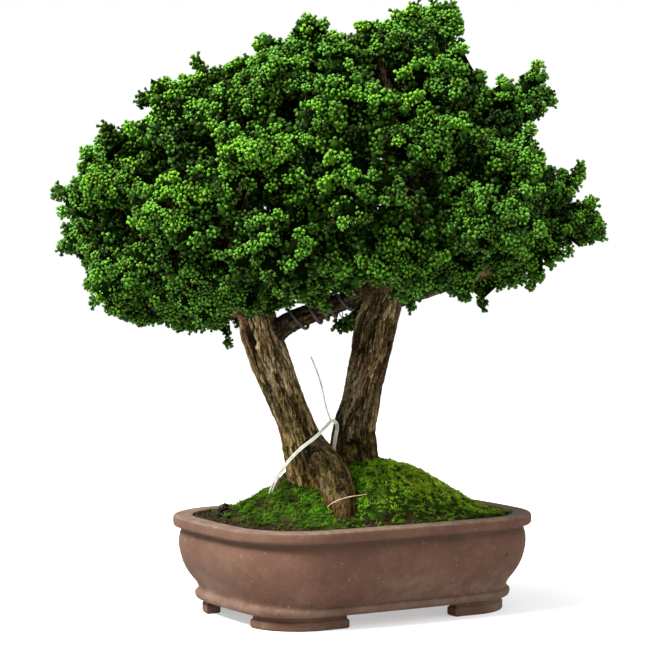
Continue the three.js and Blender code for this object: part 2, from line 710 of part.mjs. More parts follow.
/** A dry stalk that lies across the front root. */
function makeDryStalk(grow = 0) {
  const spine = [
    seen(-31, -92, 105),
    seen(-24, -98, 113),
    seen(-13, -101, 119),
    seen(0, -98, 121.5),
    seen(10, -91, 121),
    seen(17, -82, 113),
  ];
  return tube({ spine, radii: [STALK_RADIUS, STALK_RADIUS], sides: WIRE_SIDES, steps: 5, grow });
}

// ---------------------------------------------------------------- assembly
const clay = new THREE.MeshStandardMaterial({ color: 0x8a665a, roughness: 0.85, metalness: 0 });
const earth = new THREE.MeshStandardMaterial({ color: 0x2e2118, roughness: 1, metalness: 0 });
const mossGreen = new THREE.MeshStandardMaterial({ color: 0x4f8a1c, roughness: 0.95, metalness: 0 });
const bark = new THREE.MeshStandardMaterial({ color: 0x6b5138, roughness: 0.95, metalness: 0 });
const leaf = new THREE.MeshStandardMaterial({ color: 0x2c6b1f, roughness: 0.7, metalness: 0 });
const paleWire = new THREE.MeshStandardMaterial({ color: 0xc9cbb8, roughness: 0.45, metalness: 0.6 });
const darkWire = new THREE.MeshStandardMaterial({ color: 0x2a2624, roughness: 0.5, metalness: 0.6 });
const blackPlastic = new THREE.MeshStandardMaterial({ color: 0x1c1c1c, roughness: 0.6, metalness: 0 });
const straw = new THREE.MeshStandardMaterial({ color: 0xb59a6e, roughness: 0.9, metalness: 0 });

// Every node that wood, wire or stalk stands in gets a hole that is wider by the clearance.
const pads = layOutPads();
const sites = twigSites();
const timber = [...TIMBER, ...pads.map((pad) => twigTo(pad, sites))];
const wood = Manifold.union(timber.map((make) => make(0)));
const woodRoom = Manifold.union(timber.map((make) => make(CLEARANCE)));

const groundRoom = Manifold.union([woodRoom, makeTieWire(CLEARANCE), makeDryStalk(CLEARANCE)]);

const bonsai = new THREE.Group();
bonsai.name = "hinoki_cypress_bonsai";
bonsai.add(meshOf(makePot(), "pot", clay));
bonsai.add(meshOf(makeDrainScreen(-DRAIN_X), "drain_screen_left", blackPlastic));
bonsai.add(meshOf(makeDrainScreen(DRAIN_X), "drain_screen_right", blackPlastic));
bonsai.add(meshOf(makeSoil(groundRoom), "soil", earth));
bonsai.add(meshOf(makeMoss(groundRoom), "moss", mossGreen));
bonsai.add(meshOf(largestBody(wood), "twin_trunk_wood", bark));
bonsai.add(meshOf(makeTieWire(), "tie_wire", paleWire));
bonsai.add(meshOf(makeTrainingWire(), "training_wire", darkWire));
bonsai.add(meshOf(makeDryStalk(), "dry_stalk", straw));
makeFoliage(pads, woodRoom).forEach((solid, i) => {
  bonsai.add(meshOf(solid, `foliage_pad_${String(i + 1).padStart(2, "0")}`, leaf));
});

// The origin is the middle of everything, seen from above, on the surface that the feet stand on.
const extent = new THREE.Box3().setFromObject(bonsai);
const middle = extent.getCenter(new Vector3());
bonsai.position.set(-middle.x, -middle.y, 0);

export default bonsai;
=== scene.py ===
"""A twin-trunk hinoki cypress bonsai: its visible surfaces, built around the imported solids. Metres, +Z up."""

import math

import bpy
import numpy as np
from mathutils import Matrix, Vector
from mathutils.bvhtree import BVHTree


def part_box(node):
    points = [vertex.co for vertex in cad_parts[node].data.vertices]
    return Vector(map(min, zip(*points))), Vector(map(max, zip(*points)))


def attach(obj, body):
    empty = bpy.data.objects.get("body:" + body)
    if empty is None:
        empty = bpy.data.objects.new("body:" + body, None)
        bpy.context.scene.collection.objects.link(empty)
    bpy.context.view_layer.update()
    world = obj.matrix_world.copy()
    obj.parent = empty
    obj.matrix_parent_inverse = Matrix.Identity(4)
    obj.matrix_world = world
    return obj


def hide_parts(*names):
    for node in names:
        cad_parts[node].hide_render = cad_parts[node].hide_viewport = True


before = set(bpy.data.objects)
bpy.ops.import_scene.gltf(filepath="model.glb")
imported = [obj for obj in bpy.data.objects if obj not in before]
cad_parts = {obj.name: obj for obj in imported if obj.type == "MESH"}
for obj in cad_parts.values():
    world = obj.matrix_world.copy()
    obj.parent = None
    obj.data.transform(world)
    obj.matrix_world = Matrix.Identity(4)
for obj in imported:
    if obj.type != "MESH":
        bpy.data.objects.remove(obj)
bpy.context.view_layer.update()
scene = bpy.context.scene
random = np.random.default_rng(11)

# ---------------------------------------------------------------- where things are
MM = 0.001
TREE_TURN = math.radians(30.6)  # between the pot's long side and the tree's own front
POT_LOW, POT_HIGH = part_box("pot")
POT_MIDDLE = (POT_LOW + POT_HIGH) / 2


def seen(right, back, up):
    """A point of the tree, from millimetres to the right, to the back and up, seen from its front."""
    x = right * math.cos(TREE_TURN) + back * math.sin(TREE_TURN)
    y = back * math.cos(TREE_TURN) - right * math.sin(TREE_TURN)
    return (POT_MIDDLE.x + x * MM, POT_MIDDLE.y + y * MM, up * MM)


# ---------------------------------------------------------------- camera
CAMERA_PLACE = (-27.05, -2125.1, 355.2)  # to the right, to the back and up, in millimetres
CAMERA_DIP = math.radians(2.14)
CAMERA_LENS = 121.85

camera_data = bpy.data.cameras.new("camera")
camera_data.lens = CAMERA_LENS
camera_data.sensor_width = 36
camera_data.clip_end = 50
camera = bpy.data.objects.new("camera", camera_data)
scene.collection.objects.link(camera)
camera_right = Vector((math.cos(TREE_TURN), -math.sin(TREE_TURN), 0))
level_ahead = Vector((math.sin(TREE_TURN), math.cos(TREE_TURN), 0))
camera_ahead = level_ahead * math.cos(CAMERA_DIP) - Vector((0, 0, math.sin(CAMERA_DIP)))
camera_up = camera_right.cross(camera_ahead)
axes = Matrix((camera_right, camera_up, -camera_ahead)).transposed()
camera.matrix_world = Matrix.Translation(seen(*CAMERA_PLACE)) @ axes.to_4x4()
scene.camera = camera


# ---------------------------------------------------------------- small tools
def unit(vectors):
    """The vectors at a length of one."""
    return vectors / np.maximum(np.linalg.norm(vectors, axis=-1, keepdims=True), 1e-12)


SEED_FACTOR = 974634777
FACTORS = (374761393, 668265263, 1440662683)


def scrambled(total):
    """A number from 0 to 1 that looks random, for each whole number."""
    total = total & 0xFFFFFFFF
    total = ((total ^ (total >> 13)) * 1274126177) & 0xFFFFFFFF
    return ((total ^ (total >> 16)) & 0xFFFF) / 65535


def mixed_up(*numbers, seed=0):
    """A number from 0 to 1 for each set of whole numbers."""
    total = np.full(np.broadcast(*numbers).shape, seed * SEED_FACTOR + 12345, np.int64)
    for number, factor in zip(numbers, FACTORS):
        total = total + np.asarray(number, np.int64) * factor
    return scrambled(total)


def soft_noise(points, seed=0):
    """Smooth noise from -1 to 1 at each of the points, on a lattice of whole numbers."""
    cell = np.floor(points).astype(np.int64)
    share = points - cell
    share = share * share * (3 - 2 * share)
    total = np.zeros(points.shape[:-1])
    for corner in np.ndindex(2, 2, 2):
        value = 2 * scrambled((cell + np.array(corner)) @ np.array(FACTORS) + seed * SEED_FACTOR) - 1
        weight = np.prod(np.where(np.array(corner) == 1, share, 1 - share), axis=-1)
        total += value * weight
    return total


def smooth_step(low, high, value):
    """A smooth rise from 0 to 1 as a value goes from low to high, or back where low is the larger."""
    share = np.clip((value - low) / (high - low), 0, 1)
    return share * share * (3 - 2 * share)


def make_piece(name, points, triangles, material, tones=None, smooth=True):
    """A mesh object from arrays, with up to three tones of each point for its material to read."""
    mesh = bpy.data.meshes.new(name)
    points = np.asarray(points, np.float32)
    triangles = np.asarray(triangles, np.int32)
    mesh.vertices.add(len(points))
    mesh.vertices.foreach_set("co", points.ravel())
    mesh.loops.add(triangles.size)
    mesh.loops.foreach_set("vertex_index", triangles.ravel())
    mesh.polygons.add(len(triangles))
    mesh.polygons.foreach_set("loop_start", np.arange(0, triangles.size, 3, dtype=np.int32))
    mesh.polygons.foreach_set("use_smooth", np.full(len(triangles), smooth))
    if tones is not None:
        colours = np.ones((len(points), 4), np.float32)
        colours[:, :3] = tones
        layer = mesh.attributes.new("tones", "FLOAT_COLOR", "POINT")
        layer.data.foreach_set("color", colours.ravel())
    mesh.update(calc_edges=True)
    mesh.materials.append(material)
    piece = bpy.data.objects.new(name, mesh)
    scene.collection.objects.link(piece)
    return piece


def finish_piece(piece, slot, *nodes):
    """Every piece rides on the one body and may stand for solids, which it hides; its slot is not used."""
    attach(piece, "root")
    if nodes:
        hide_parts(*nodes)


def joined(parts):
    """Several (points, triangles, tones) as one."""
    offsets = np.cumsum([0] + [len(part[0]) for part in parts[:-1]])
    triangles = [part[1] + offset for part, offset in zip(parts, offsets)]
    return np.vstack([p[0] for p in parts]), np.vstack(triangles), np.vstack([p[2] for p in parts])


def solid_surface(node):
    """A CAD node's welded points and triangles."""
    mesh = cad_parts[node].data
    mesh.calc_loop_triangles()
    points = np.zeros(len(mesh.vertices) * 3, np.float32)
    mesh.vertices.foreach_get("co", points)
    triangles = np.zeros(len(mesh.loop_triangles) * 3, np.int32)
    mesh.loop_triangles.foreach_get("vertices", triangles)
    points = points.reshape(-1, 3).astype(float)
    _, first, same = np.unique(np.round(points, 6), axis=0, return_index=True, return_inverse=True)
    triangles = same.reshape(-1)[triangles].reshape(-1, 3)
    used = (triangles[:, 0] != triangles[:, 1]) & (triangles[:, 1] != triangles[:, 2])
    used &= triangles[:, 0] != triangles[:, 2]
    return points[first], triangles[used]


def curve_points(spine, shares):
    """Points of a centripetal Catmull-Rom curve, at shares counted evenly over its spans."""
    spine = np.asarray(spine, float)
    held = np.vstack([2 * spine[0] - spine[1], spine, 2 * spine[-1] - spine[-2]])
    place = np.clip(shares, 0, 1) * (len(spine) - 1)
    span = np.minimum(place.astype(int), len(spine) - 2)
    w = (place - span)[:, None]
    p0, p1, p2, p3 = (held[span + k] for k in range(4))
    d0, d1, d2 = (
        np.sqrt(np.linalg.norm(b - a, axis=1, keepdims=True)) for a, b in ((p0, p1), (p1, p2), (p2, p3))
    )
    t1 = ((p1 - p0) / d0 - (p2 - p0) / (d0 + d1) + (p2 - p1) / d1) * d1
    t2 = ((p2 - p1) / d1 - (p3 - p1) / (d1 + d2) + (p3 - p2) / d2) * d1
    return p1 + t1 * w + (3 * (p2 - p1) - 2 * t1 - t2) * w**2 + (2 * (p1 - p2) + t1 + t2) * w**3


def skin(rings):
    """Points and triangles of a closed tube from its rings, with a middle point for each of its ends."""
    count, sides = rings.shape[:2]
    i, j = np.meshgrid(np.arange(count - 1), np.arange(sides), indexing="ij")
    a, b = i * sides + j, i * sides + (j + 1) % sides
    c, d = b + sides, a + sides
    walls = np.stack([np.stack([a, b, c], -1), np.stack([a, c, d], -1)], 2).reshape(-1, 3)
    k, after = np.arange(sides), (np.arange(sides) + 1) % sides
    low, high, last = count * sides, count * sides + 1, (count - 1) * sides
    start = np.stack([np.full(sides, low), after, k], -1)
    end = np.stack([np.full(sides, high), last + k, last + after], -1)
    points = np.vstack([rings.reshape(-1, 3), rings[0].mean(0), rings[-1].mean(0)])
    return points, np.vstack([walls, start, end])


def tube(spine, radii, sides, count, relief=None):
    """A round tube in millimetres of radius, whose skin a relief may raise, with the relief's tones."""
    shares = np.linspace(0, 1, count)
    centres = curve_points(spine, shares)
    along = unit(np.gradient(centres, axis=0))
    across = np.zeros_like(centres)
    held = np.array([1.0, 0, 0]) if abs(along[0, 0]) < 0.9 else np.array([0, 1.0, 0])
    for i, direction in enumerate(along):
        held = held - direction * np.dot(held, direction)
        held = held / np.linalg.norm(held)
        across[i] = held
    up = np.cross(along, across)
    radius = np.interp(shares, np.linspace(0, 1, len(radii)), radii)[:, None] * MM
    angle = np.linspace(0, 2 * math.pi, sides, endpoint=False)[None, :]
    travelled = np.concatenate([[0], np.cumsum(np.linalg.norm(np.diff(centres, axis=0), axis=1))])[:, None]
    outward = across[:, None] * np.cos(angle)[..., None] + up[:, None] * np.sin(angle)[..., None]
    tones = np.zeros((count, sides, 3))
    if relief is not None:
        rise, tones = relief(travelled, angle, radius)
        radius = radius + rise
    points, triangles = skin(centres[:, None] + outward * (radius * np.ones_like(angle))[..., None])
    tones = np.vstack([tones.reshape(-1, 3), tones[0].mean(0), tones[-1].mean(0)])
    return points, triangles, tones


# ---------------------------------------------------------------- materials
class Paint:
    """A short way to write a node material; a value is a number, a colour or another node's output."""

    def __init__(self, name, roughness, specular):
        self.material = bpy.data.materials.new(name)
        self.material.use_nodes = True
        self.tree = self.material.node_tree
        self.shader = self.tree.nodes["Principled BSDF"]
        self.shader.inputs["Roughness"].default_value = roughness
        self.shader.inputs["Specular IOR Level"].default_value = specular
        self.place = self.node("TexCoord", "Object", {})

    def link(self, value, socket):
        if isinstance(value, bpy.types.NodeSocket):
            self.tree.links.new(value, socket)
        elif isinstance(value, tuple) and socket.type == "RGBA":
            socket.default_value = (*value, 1)
        else:
            socket.default_value = value

    def node(self, kind, output, inputs, **settings):
        """One output of a new node with its settings and inputs."""
        node = self.tree.nodes.new("ShaderNode" + kind)
        for name, value in settings.items():
            setattr(node, name, value)
        for name, value in inputs.items():
            self.link(value, node.inputs[name])
        return node.outputs[output]

    def stretched(self, *scale):
        return self.node("Mapping", "Vector", {"Vector": self.place, "Scale": scale})

    def noise(self, scale, detail, roughness=0.55, where=None):
        inputs = {"Scale": scale, "Detail": detail, "Roughness": roughness}
        return self.node("TexNoise", "Fac", {"Vector": where or self.place, **inputs})

    def cells(self, scale):
        return self.node("TexVoronoi", "Distance", {"Vector": self.place, "Scale": scale})

    def between(self, value, low, high, to_low=0.0, to_high=1.0):
        """A smooth change from one number to another as a value goes from low to high."""
        ends = {"From Min": low, "From Max": high, "To Min": to_low, "To Max": to_high}
        return self.node("MapRange", "Result", {"Value": value, **ends}, interpolation_type="SMOOTHSTEP")

    def maths(self, operation, a, b):
        return self.node("Math", "Value", {0: a, 1: b}, operation=operation)

    def times(self, a, b):
        return self.maths("MULTIPLY", a, b)

    def centred(self, value, width):
        """A value from 0 to 1 as one that goes a width's half to both sides of 0."""
        return self.times(self.maths("SUBTRACT", value, 0.5), width)

    def mixed(self, share, a, b, blend="MIX"):
        inputs = {"Factor": share, 6: a, 7: b}
        return self.node("Mix", 2, inputs, data_type="RGBA", blend_type=blend)

    def tinted(self, a, b):
        return self.mixed(1.0, a, b, "MULTIPLY")

    def ramp(self, value, stops):
        colour = self.node("ValToRGB", "Color", {"Fac": value})
        elements = colour.node.color_ramp.elements
        while len(elements) < len(stops):
            elements.new(0.5)
        for element, (place, shade) in zip(elements, stops):
            element.position = place
            element.color = (*shade, 1)
        return colour

    def tones(self):
        """The three tones that a piece's points carry."""
        stored = self.node("Attribute", "Color", {}, attribute_name="tones")
        return self.node("SeparateColor", 0, {"Color": stored}).node.outputs

    def height(self):
        return self.node("SeparateXYZ", "Z", {"Vector": self.place})

    def colour(self, value):
        self.link(value, self.shader.inputs["Base Color"])

    def bump(self, value, distance, strength):
        normal = self.shader.inputs["Normal"]
        inputs = {"Distance": distance, "Strength": strength, "Height": value}
        if normal.is_linked:
            inputs["Normal"] = normal.links[0].from_socket
        self.link(self.node("Bump", "Normal", inputs), normal)


# Colours from the darkest to the palest tone of a surface.
GREEN = [
    (0.0, (0.004, 0.011, 0.001)), (0.4, (0.040, 0.125, 0.004)),
    (0.75, (0.096, 0.275, 0.014)), (1.0, (0.118, 0.270, 0.030)),
]
DEEP_GREEN = [
    (0.0, (0.004, 0.011, 0.001)), (0.4, (0.032, 0.102, 0.006)),
    (0.75, (0.078, 0.225, 0.020)), (1.0, (0.108, 0.230, 0.042)),
]
YOUNG_GREEN = [
    (0.0, (0.005, 0.013, 0.001)), (0.4, (0.060, 0.145, 0.003)),
    (0.75, (0.140, 0.31, 0.012)), (1.0, (0.17, 0.31, 0.026)),
]
BARK = [
    (0.0, (0.003, 0.002, 0.001)), (0.25, (0.011, 0.0075, 0.0025)), (0.5, (0.062, 0.042, 0.0145)),
    (0.72, (0.19, 0.137, 0.060)), (1.0, (0.52, 0.41, 0.23)),
]
RED_BARK = [(0.0, (0.005, 0.002, 0.001)), (0.4, (0.042, 0.020, 0.009)), (0.9, (0.27, 0.14, 0.080))]
GREY_BARK = [(0.0, (0.004, 0.0035, 0.002)), (0.4, (0.048, 0.039, 0.020)), (0.9, (0.38, 0.31, 0.19))]
OLIVE_BARK = [(0.0, (0.005, 0.004, 0.001)), (0.4, (0.044, 0.034, 0.006)), (0.85, (0.19, 0.14, 0.034))]
LICHEN = [(0.0, (0.03, 0.014, 0.002)), (0.35, (0.13, 0.07, 0.008)), (0.85, (0.34, 0.20, 0.03))]
MOSS = [
    (0.0, (0.003, 0.007, 0.001)), (0.3, (0.018, 0.056, 0.002)),
    (0.6, (0.062, 0.190, 0.006)), (0.9, (0.150, 0.390, 0.020)),
]
FRESH_MOSS = [
    (0.0, (0.005, 0.011, 0.001)), (0.3, (0.055, 0.110, 0.002)),
    (0.6, (0.26, 0.40, 0.014)), (0.9, (0.60, 0.72, 0.075)),
]
DRY_MOSS = [
    (0.0, (0.005, 0.003, 0.001)), (0.25, (0.018, 0.012, 0.004)),
    (0.7, (0.075, 0.060, 0.015)), (1.0, (0.14, 0.115, 0.03)),
]
# Heights on the tree and the pot between which a finish comes in, in metres.
MOSSY_BARK = (0.215, 0.135)
DAMP_BARK = (0.130, 0.104)
# The rim's and the bead's pale bands are partly lime and partly a painted highlight.
RIM_TOP = (0.0915, 0.0937)
BEAD_TOP, BEAD_FOOT = (0.0245, 0.0215), (0.0125, 0.017)
HAZE = (0.052, 0.026)
# The groove's dark band below the rim is painted shade.
GROOVE_FOOT, GROOVE_TOP = (0.072, 0.080), (0.0865, 0.0835)


def foliage_material():
    """Green by a point's depth, by its floret's painted light and shade, and by its spray's kind; sprays of
    kind 0 are wood.
    """
    paint = Paint("hinoki_foliage", roughness=0.68, specular=0.15)
    depth, own, kind = paint.tones()
    patch = paint.between(paint.noise(11, 2), 0.42, 0.6)
    # Depth runs from a nub's foot to its tip: its darker foot is painted shade among the nubs, its paler tip
    # partly a painted highlight.
    green = paint.mixed(paint.times(patch, 0.8), paint.ramp(depth, GREEN), paint.ramp(depth, DEEP_GREEN))
    youth = paint.times(paint.between(kind, 0.82, 1.0), 0.75)
    green = paint.mixed(youth, green, paint.ramp(depth, YOUNG_GREEN))
    # Painted light and shade: the second tone, from how openly a floret stands and how much sky it sees,
    # lightens or darkens its green.
    lit = paint.mixed(paint.between(own, 0.0, 0.54), (0.10, 0.10, 0.09), (0.80, 0.80, 0.82))
    green = paint.tinted(green, lit)
    # The scale leaves: small pale bosses with dark lines between them; the pale of each boss is partly a
    # painted highlight.
    scales = paint.cells(430)
    boss_highlights = paint.mixed(paint.between(scales, 0.12, 0.62), (1.15, 1.15, 1.15), (0.66, 0.66, 0.66))
    green = paint.tinted(green, boss_highlights)
    knots = paint.between(paint.noise(120, 2), 0.35, 0.65)
    wood = paint.mixed(knots, (0.009, 0.005, 0.003), (0.034, 0.019, 0.010))
    paint.colour(paint.mixed(paint.between(kind, 0.04, 0.02), green, wood))
    paint.link(paint.times(depth, 0.09), paint.shader.inputs["Specular IOR Level"])
    paint.bump(scales, 0.0009, 0.5)
    return paint.material


def bark_material():
    """Brown by the painted light and shade of the relief and of each limb, with red, grey, olive and lichen
    patches, and damp at the foot.
    """
    paint = Paint("cypress_bark", roughness=0.92, specular=0.03)
    tone, shade, lichen = paint.tones()
    strands = paint.noise(1, 5, 0.75, paint.stretched(620, 620, 60))
    grit = paint.noise(520, 3, 0.7)
    change = paint.maths("ADD", paint.centred(strands, 1.0), paint.centred(grit, 0.6))
    lit = paint.maths("ADD", tone, change)
    red = paint.between(paint.noise(24, 3), 0.55, 0.66, 0.0, 0.6)
    wood = paint.mixed(red, paint.ramp(lit, BARK), paint.ramp(lit, RED_BARK))
    pale = paint.between(paint.noise(30, 3, where=paint.stretched(1, 1, 0.4)), 0.5, 0.66, 0.0, 0.7)
    wood = paint.mixed(pale, wood, paint.ramp(lit, GREY_BARK))
    spots = paint.between(paint.noise(75, 4), 0.42, 0.6)
    low = paint.between(paint.height(), *MOSSY_BARK)
    wood = paint.mixed(paint.times(paint.times(low, spots), 0.9), wood, paint.ramp(lit, OLIVE_BARK))
    wood = paint.mixed(paint.times(lichen, spots), wood, paint.ramp(lit, LICHEN))
    # Painted shade: a low shade tone darkens the wood of limbs in the crown's shadow, such as the right trunk
    # and the wired limb.
    wood = paint.tinted(wood, paint.mixed(shade, (0.12, 0.105, 0.09), (1.0, 1.0, 1.0)))
    damp = paint.between(paint.height(), *DAMP_BARK, 0.0, 0.8)
    wood = paint.mixed(damp, wood, paint.tinted(wood, (0.55, 0.36, 0.3)))
    paint.colour(wood)
    paint.bump(strands, 0.0018, 0.9)
    paint.bump(grit, 0.001, 0.6)
    return paint.material


def clay_material():
    """Unglazed brown clay, mottled, with lime, stains and pits, a painted highlight on the rim and bead, and
    painted shade in the groove below the rim.
    """
    paint = Paint("unglazed_clay", roughness=0.85, specular=0.12)
    height = paint.height()
    grain = paint.noise(620, 4, 0.75)
    cloud = paint.noise(16, 4, 0.6)
    drift = paint.noise(6, 3, 0.6, paint.stretched(1, 1, 3.5))
    mottle = paint.noise(55, 4, 0.65)
    clay = paint.mixed(paint.between(cloud, 0.36, 0.64), (0.060, 0.0275, 0.0165), (0.088, 0.044, 0.0285))
    for share, colour in (
        (paint.between(drift, 0.46, 0.68, 0.0, 0.45), (0.088, 0.052, 0.033)),
        (paint.between(mottle, 0.42, 0.62, 0.0, 0.4), (0.058, 0.030, 0.019)),
        (paint.between(grain, 0.3, 0.7, 0.5, 0.0), (0.046, 0.022, 0.014)),
        (paint.between(paint.noise(150, 3, 0.6), 0.5, 0.7, 0.0, 0.16), (0.125, 0.078, 0.054)),
    ):
        clay = paint.mixed(share, clay, colour)
    # Pale on the rim's top and edges and on the bead, partly lime and partly a painted highlight; lime as a
    # haze above the bead.
    rim = paint.between(height, *RIM_TOP)
    bead = paint.times(paint.between(height, *BEAD_TOP), paint.between(height, *BEAD_FOOT))
    worn = paint.between(paint.noise(75, 5, 0.7), 0.34, 0.66, 0.25, 1.0)
    lime_and_highlight = paint.times(paint.maths("MAXIMUM", rim, paint.times(bead, 0.5)), worn)
    haze = paint.times(paint.between(height, *HAZE), paint.between(paint.noise(20, 5, 0.65), 0.44, 0.7))
    lime_and_highlight = paint.maths("MAXIMUM", lime_and_highlight, paint.times(haze, 0.7))
    specks = paint.times(
        paint.between(paint.cells(210), 0.17, 0.10), paint.between(paint.noise(120, 1), 0.62, 0.68)
    )
    # Painted shade in the groove below the rim, dark stains in it, and a few small black pits.
    groove_shade = paint.times(paint.between(height, *GROOVE_FOOT), paint.between(height, *GROOVE_TOP))
    stain = paint.times(groove_shade, paint.between(paint.noise(48, 5, 0.75), 0.5, 0.66))
    pits = paint.between(paint.cells(26), 0.055, 0.035)
    for share, most, colour in (
        (lime_and_highlight, 0.6, (0.155, 0.118, 0.088)),
        (specks, 0.55, (0.24, 0.185, 0.13)),
        (groove_shade, 0.35, (0.032, 0.018, 0.011)),
        (stain, 0.7, (0.03, 0.021, 0.014)),
        (pits, 0.85, (0.012, 0.009, 0.007)),
    ):
        clay = paint.mixed(paint.times(share, most), clay, colour)
    paint.colour(clay)
    paint.bump(grain, 0.0005, 0.55)
    wavering = paint.noise(90, 3, where=paint.stretched(1, 1, 3))
    paint.bump(paint.maths("SUBTRACT", wavering, pits), 0.0009, 0.45)
    lines = paint.noise(1, 2, 0.5, paint.stretched(14, 14, 620))
    paint.bump(paint.times(lines, rim), 0.0012, 0.6)
    return paint.material


def moss_material():
    """Green by the depth of a point, which is partly painted light and shade, from old to fresh by its own
    tone, and brown where it is dry.
    """
    paint = Paint("moss", roughness=0.8, specular=0.03)
    depth, own, dry = paint.tones()
    green = paint.mixed(own, paint.ramp(depth, MOSS), paint.ramp(depth, FRESH_MOSS))
    green = paint.mixed(dry, green, paint.ramp(depth, DRY_MOSS))
    cloud = paint.between(paint.noise(60, 4), 0.36, 0.64)
    paint.colour(paint.tinted(green, paint.mixed(cloud, (0.5, 0.5, 0.45), (1.15, 1.15, 1.1))))
    paint.bump(paint.noise(900, 3), 0.0008, 0.8)
    return paint.material


def soil_material():
    """Dark damp crumbs with some golden grit."""
    paint = Paint("damp_soil", roughness=0.95, specular=0.15)
    lumps = paint.cells(260)
    grit = paint.noise(420, 5, 0.7)
    soil = paint.mixed(paint.between(lumps, 0.1, 0.6), (0.042, 0.026, 0.011), (0.008, 0.005, 0.002))
    soil = paint.mixed(paint.between(grit, 0.55, 0.72, 0.0, 0.7), soil, (0.095, 0.066, 0.026))
    paint.colour(soil)
    paint.bump(lumps, 0.0024, 0.9)
    paint.bump(grit, 0.001, 0.8)
    return paint.material


def coated_wire_material():
    paint = Paint("pale_coated_wire", roughness=0.38, specular=0.5)
    worn = paint.between(paint.noise(160, 4, 0.6), 0.45, 0.7)
    paint.colour(paint.mixed(worn, (0.46, 0.46, 0.38), (0.25, 0.26, 0.17)))
    paint.bump(paint.noise(1400, 2), 0.0001, 0.5)
    return paint.material


def dark_wire_material():
    paint = Paint("dark_training_wire", roughness=0.5, specular=0.3)
    paint.shader.inputs["Metallic"].default_value = 0.2
    worn = paint.between(paint.noise(240, 4, 0.6), 0.5, 0.72)
    paint.colour(paint.mixed(worn, (0.012, 0.011, 0.011), (0.050, 0.036, 0.028)))
    paint.bump(paint.noise(900, 3), 0.0002, 0.5)
    return paint.material


def straw_material():
    paint = Paint("dry_straw", roughness=0.8, specular=0.25)
    fibres = paint.noise(500, 4, 0.6)
    paint.colour(paint.mixed(paint.between(fibres, 0.35, 0.65), (0.24, 0.17, 0.085), (0.42, 0.33, 0.20)))
    paint.bump(fibres, 0.0002, 0.6)
    return paint.material


def screen_material():
    paint = Paint("black_plastic_mesh", roughness=0.55, specular=0.4)
    dust = paint.between(paint.noise(200, 4, 0.6), 0.5, 0.75, 0.0, 0.5)
    paint.colour(paint.mixed(dust, (0.012, 0.012, 0.012), (0.09, 0.07, 0.05)))
    paint.bump(paint.noise(1200, 2), 0.0002, 0.6)
    return paint.material


# ---------------------------------------------------------------- pot
# All in millimetres, on the pot's own plan.
POT_LENGTH = 330
POT_WIDTH = 238
CORNER_RADIUS = 78
LEAST_CORNER_RADIUS = 10
SIDE_BOW = 1.6
CORNER_POINTS = 22
SIDE_POINTS = 18
DRAIN_RADIUS = 11
DRAIN_SIDES = 40
DRAIN_X = 72
DRILL_REACH = (10, 23)  # from below the floor to above it
FOOT_INSET = 28
FOOT_THICKNESS = 14.5
FOOT_END_X = 59
FOOT_END_Y = 43
FOOT_ARC_POINTS = 18
FOOT_SIDE_POINTS = 5
# A foot's (height, inset) from the floor up: softened below, with a small step under the foot ring.
FOOT_MOULDING = [
    (0, 1.6), (0.5, 0.7), (1.5, 0.1), (2.6, 0), (7.4, 0), (8.2, 0.3), (8.7, 1.1), (9.4, 1.6), (13.3, 1.7),
]
# The pot's section as (inset from the rim's outer edge, height), one part after the other.
UNDERSIDE = [(60, 12.5), (30, 12.5), (26.6, 12.6), (24.4, 13.1), (22.6, 14.2), (21.5, 15.8)]
BEAD = [
    (21.0, 17.7), (20.9, 19.2), (21.3, 20.4), (22.3, 21.2), (23.5, 21.7), (24.2, 22.6), (24.4, 24.2),
]
BELLY = [
    (23.9, 26.4), (21.8, 30.0), (18.3, 34.2), (14.8, 38.8), (11.8, 43.8), (9.2, 49.4), (7.2, 55.8),
    (5.9, 62), (5.4, 67), (5.6, 72), (6.5, 76.4), (7.5, 79.4), (8.0, 81.2),
]
RIM = [
    (7.6, 82.7), (5.8, 83.3), (3.0, 83.6), (1.3, 84.0), (0.5, 84.8), (0.2, 86.2), (0.0, 88.8), (0.05, 91.2),
    (0.4, 92.6), (1.2, 93.5), (2.3, 93.9), (4.5, 94), (16.8, 94), (18.6, 93.7), (19.4, 92.7), (19.5, 90),
]
INSIDE = [(18.7, 86), (16.8, 76), (14.9, 68), (16.6, 58), (22, 42), (33, 21.2), (60, 21)]
CREASE = 42  # degrees: the pot's faces that meet at more stay sharp


def pot_outline(inset):
    """Points round the pot in millimetres: quarter rounds joined by sides that bow outwards a little."""
    half_x, half_y = POT_LENGTH / 2 - inset, POT_WIDTH / 2 - inset
    radius = max(CORNER_RADIUS - inset, LEAST_CORNER_RADIUS)
    flat_x, flat_y = half_x - radius, half_y - radius
    points = []
    for corner in range(4):
        sign_x, sign_y = (1, -1, -1, 1)[corner], (1, 1, -1, -1)[corner]
        for i in range(CORNER_POINTS):
            angle = math.pi / 2 * (corner + i / (CORNER_POINTS - 1))
            x, y = radius * math.cos(angle), radius * math.sin(angle)
            points.append((sign_x * flat_x + x, sign_y * flat_y + y))
        direction = 1 if corner < 2 else -1
        for i in range(1, SIDE_POINTS):
            share = 1 - 2 * i / SIDE_POINTS
            bow = SIDE_BOW * (1 - share**2)
            if corner % 2 == 0:
                points.append((direction * share * flat_x, direction * (half_y + bow)))
            else:
                points.append((-direction * (half_x + bow), direction * share * flat_y))
    return np.array(points)


def on_pot(plan, heights):
    """Row-frame points from points of the pot's own plan and heights, all in millimetres."""
    heights = np.broadcast_to(heights, plan.shape[:-1])
    return np.concatenate([plan, heights[..., None]], -1) * MM + np.array([POT_MIDDLE.x, POT_MIDDLE.y, 0])


